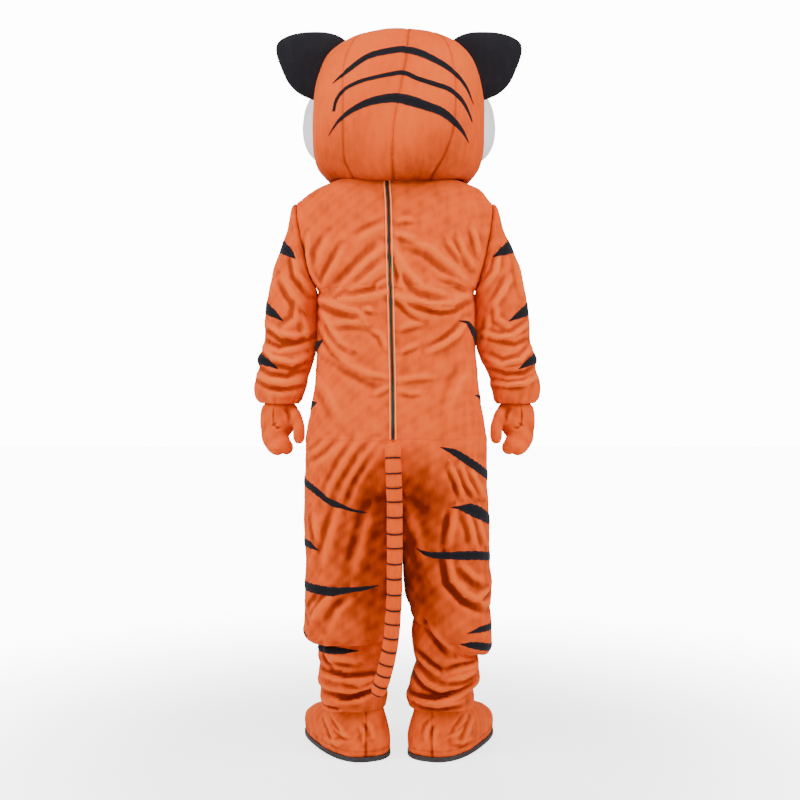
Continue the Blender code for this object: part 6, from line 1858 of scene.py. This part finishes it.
    def build(self, suit: dict[Side, SurfaceMap], sleeves: dict[Side, SurfaceMap],
              legs: dict[Side, tuple[SurfaceMap, SurfaceMap]], head: SurfaceMap) -> None:
        """Sew every stripe on.

        Args:
            suit: The body's surfaces by side.
            sleeves: The sleeves' surfaces by side.
            legs: The legs' surfaces by side, above and below the blouse.
            head: The back of the head.
        """
        sides = {side.word: side for side in Side}
        for group, word, maps in ((self.waist, "waist", suit), (self.sleeves, "sleeve", sleeves)):
            for (side, number), (wrap, stations) in group.items():
                name = f"{word}_stripe_{side}_{number}"
                Stripe(name + "_patch", self.wrapped(stations, wrap)).make(maps[sides[side]], (name,))
        for (side, number), (wrap, stations) in self.legs.items():
            part = legs[sides[side]][side == "left" and number == 5]
            name = f"leg_stripe_{side}_{number}"
            Stripe(name + "_patch", self.wrapped(stations, wrap)).make(part, (name,))
        for name, stations in self.head.items():
            Stripe(f"head_stripe_{name}_patch", stations, ragged=0.04).make(head, ("head_stripe_" + name,))


# ---------------------------------------------------------------- floor, light and camera
@dataclass
class Studio:
    """A pale floor, soft light and a level camera straight behind the costume."""

    distance: float = 3.0
    eye_height: float = 0.92
    span: float = 2.08
    daylight: float = 0.36
    glow: float = 14.0
    floor_glow: float = 11.0
    floor_colour: tuple[float, float, float] = (0.92, 0.92, 0.92)
    lights: tuple[tuple[Any, ...], ...] = (
        # name, place, what it points at, size, watts
        ("left_side", (2.7, 1.3, 0.5), (0.0, 0.0, -0.5), 1.6, 84.0),
        ("right_side", (-2.7, 1.5, 0.7), (0.0, 0.0, -0.5), 1.6, 84.0),
        ("top", (0.1, 1.4, 2.5), (0.0, 0.0, -0.1), 1.8, 62.0),
        ("fill", (-0.5, 3.5, 0.5), (0.0, 0.0, -0.6), 2.0, 24.0),
        ("far_side", (0.6, -3.0, 1.0), (0.0, 0.0, -0.5), 2.4, 70.0),
    )

    def build(self) -> None:
        """Put up the floor, the lights, the world and the camera."""
        bpy.ops.object.select_all(action="DESELECT")
        bpy.ops.mesh.primitive_plane_add(size=40.0, location=(0.0, 0.0, -HOLD_HEIGHT))
        floor = bpy.context.object
        floor.name = "floor"
        nodes = NodeTree("pale_floor")
        seen = nodes.add("ShaderNodeLightPath").outputs["Is Camera Ray"]
        length = nodes.add("ShaderNodeVectorMath", {"operation": "LENGTH"}, {0: nodes.place()})
        far = Value(nodes, length.outputs["Value"]).spread(0.5, 2.4)
        nodes.set(base_color=rgba(self.floor_colour), roughness=0.8, specular_ior_level=0.1,
                  emission_color=nodes.blend(Value(nodes, seen) * (far * 0.78 + 0.22), rgba((0.0,) * 3),
                                             rgba((1.0,) * 3)),
                  emission_strength=self.floor_glow)
        floor.data.materials.append(nodes.material)
        world = bpy.data.worlds.new("studio")
        world.use_nodes = True
        tree = world.node_tree
        rays, strength = tree.nodes.new("ShaderNodeLightPath"), tree.nodes.new("ShaderNodeMapRange")
        strength.inputs["To Min"].default_value = self.daylight
        strength.inputs["To Max"].default_value = self.glow
        tree.links.new(rays.outputs["Is Camera Ray"], strength.inputs["Value"])
        tree.links.new(strength.outputs[0], tree.nodes["Background"].inputs["Strength"])
        tree.nodes["Background"].inputs["Color"].default_value = rgba((1.0,) * 3)
        bpy.context.scene.world = world
        for name, place, target, size, watts in self.lights:
            lamp = bpy.data.lights.new(name, "AREA")
            lamp.shape, lamp.size, lamp.energy = "DISK", size, watts
            holder = bpy.data.objects.new(name, lamp)
            holder.location = place
            holder.rotation_euler = (Vector(target) - Vector(place)).to_track_quat("-Z", "Y").to_euler()
            bpy.context.scene.collection.objects.link(holder)
        lens = bpy.data.cameras.new("camera")
        lens.sensor_width = 36.0
        lens.lens = 36.0 * self.distance / self.span
        camera = bpy.data.objects.new("camera", lens)
        camera.location = (0.0, self.distance, self.eye_height - HOLD_HEIGHT)
        camera.rotation_euler = (pi / 2, 0.0, pi)
        lens.shift_x = 1.0 / 800.0
        bpy.context.scene.collection.objects.link(camera)
        bpy.context.scene.camera = camera


def main() -> None:
    """Build every piece in order and note the sizes."""
    logging.basicConfig(level=logging.INFO, format="%(message)s")
    suit = Suit()
    suit_maps = suit.build()
    sleeve_maps = {side: Sleeve(side).build(suit) for side in Side}
    leg_rows = {Side.LEFT: LEFT_LEG, Side.RIGHT: RIGHT_LEG}
    leg_maps = {side: Leg(side, leg_rows[side]).build() for side in Side}
    head_map = Head().build()
    Stripes().build(suit_maps, sleeve_maps, leg_maps, head_map)
    Face3D().build()
    Ears().build()
    for side in Side:
        ShoeCover(side).build()
        Glove(side).build()
    Tail().build()
    Zip().build(suit)
    keep_metal()
    Studio().build()


if __name__ == "__main__":
    main()
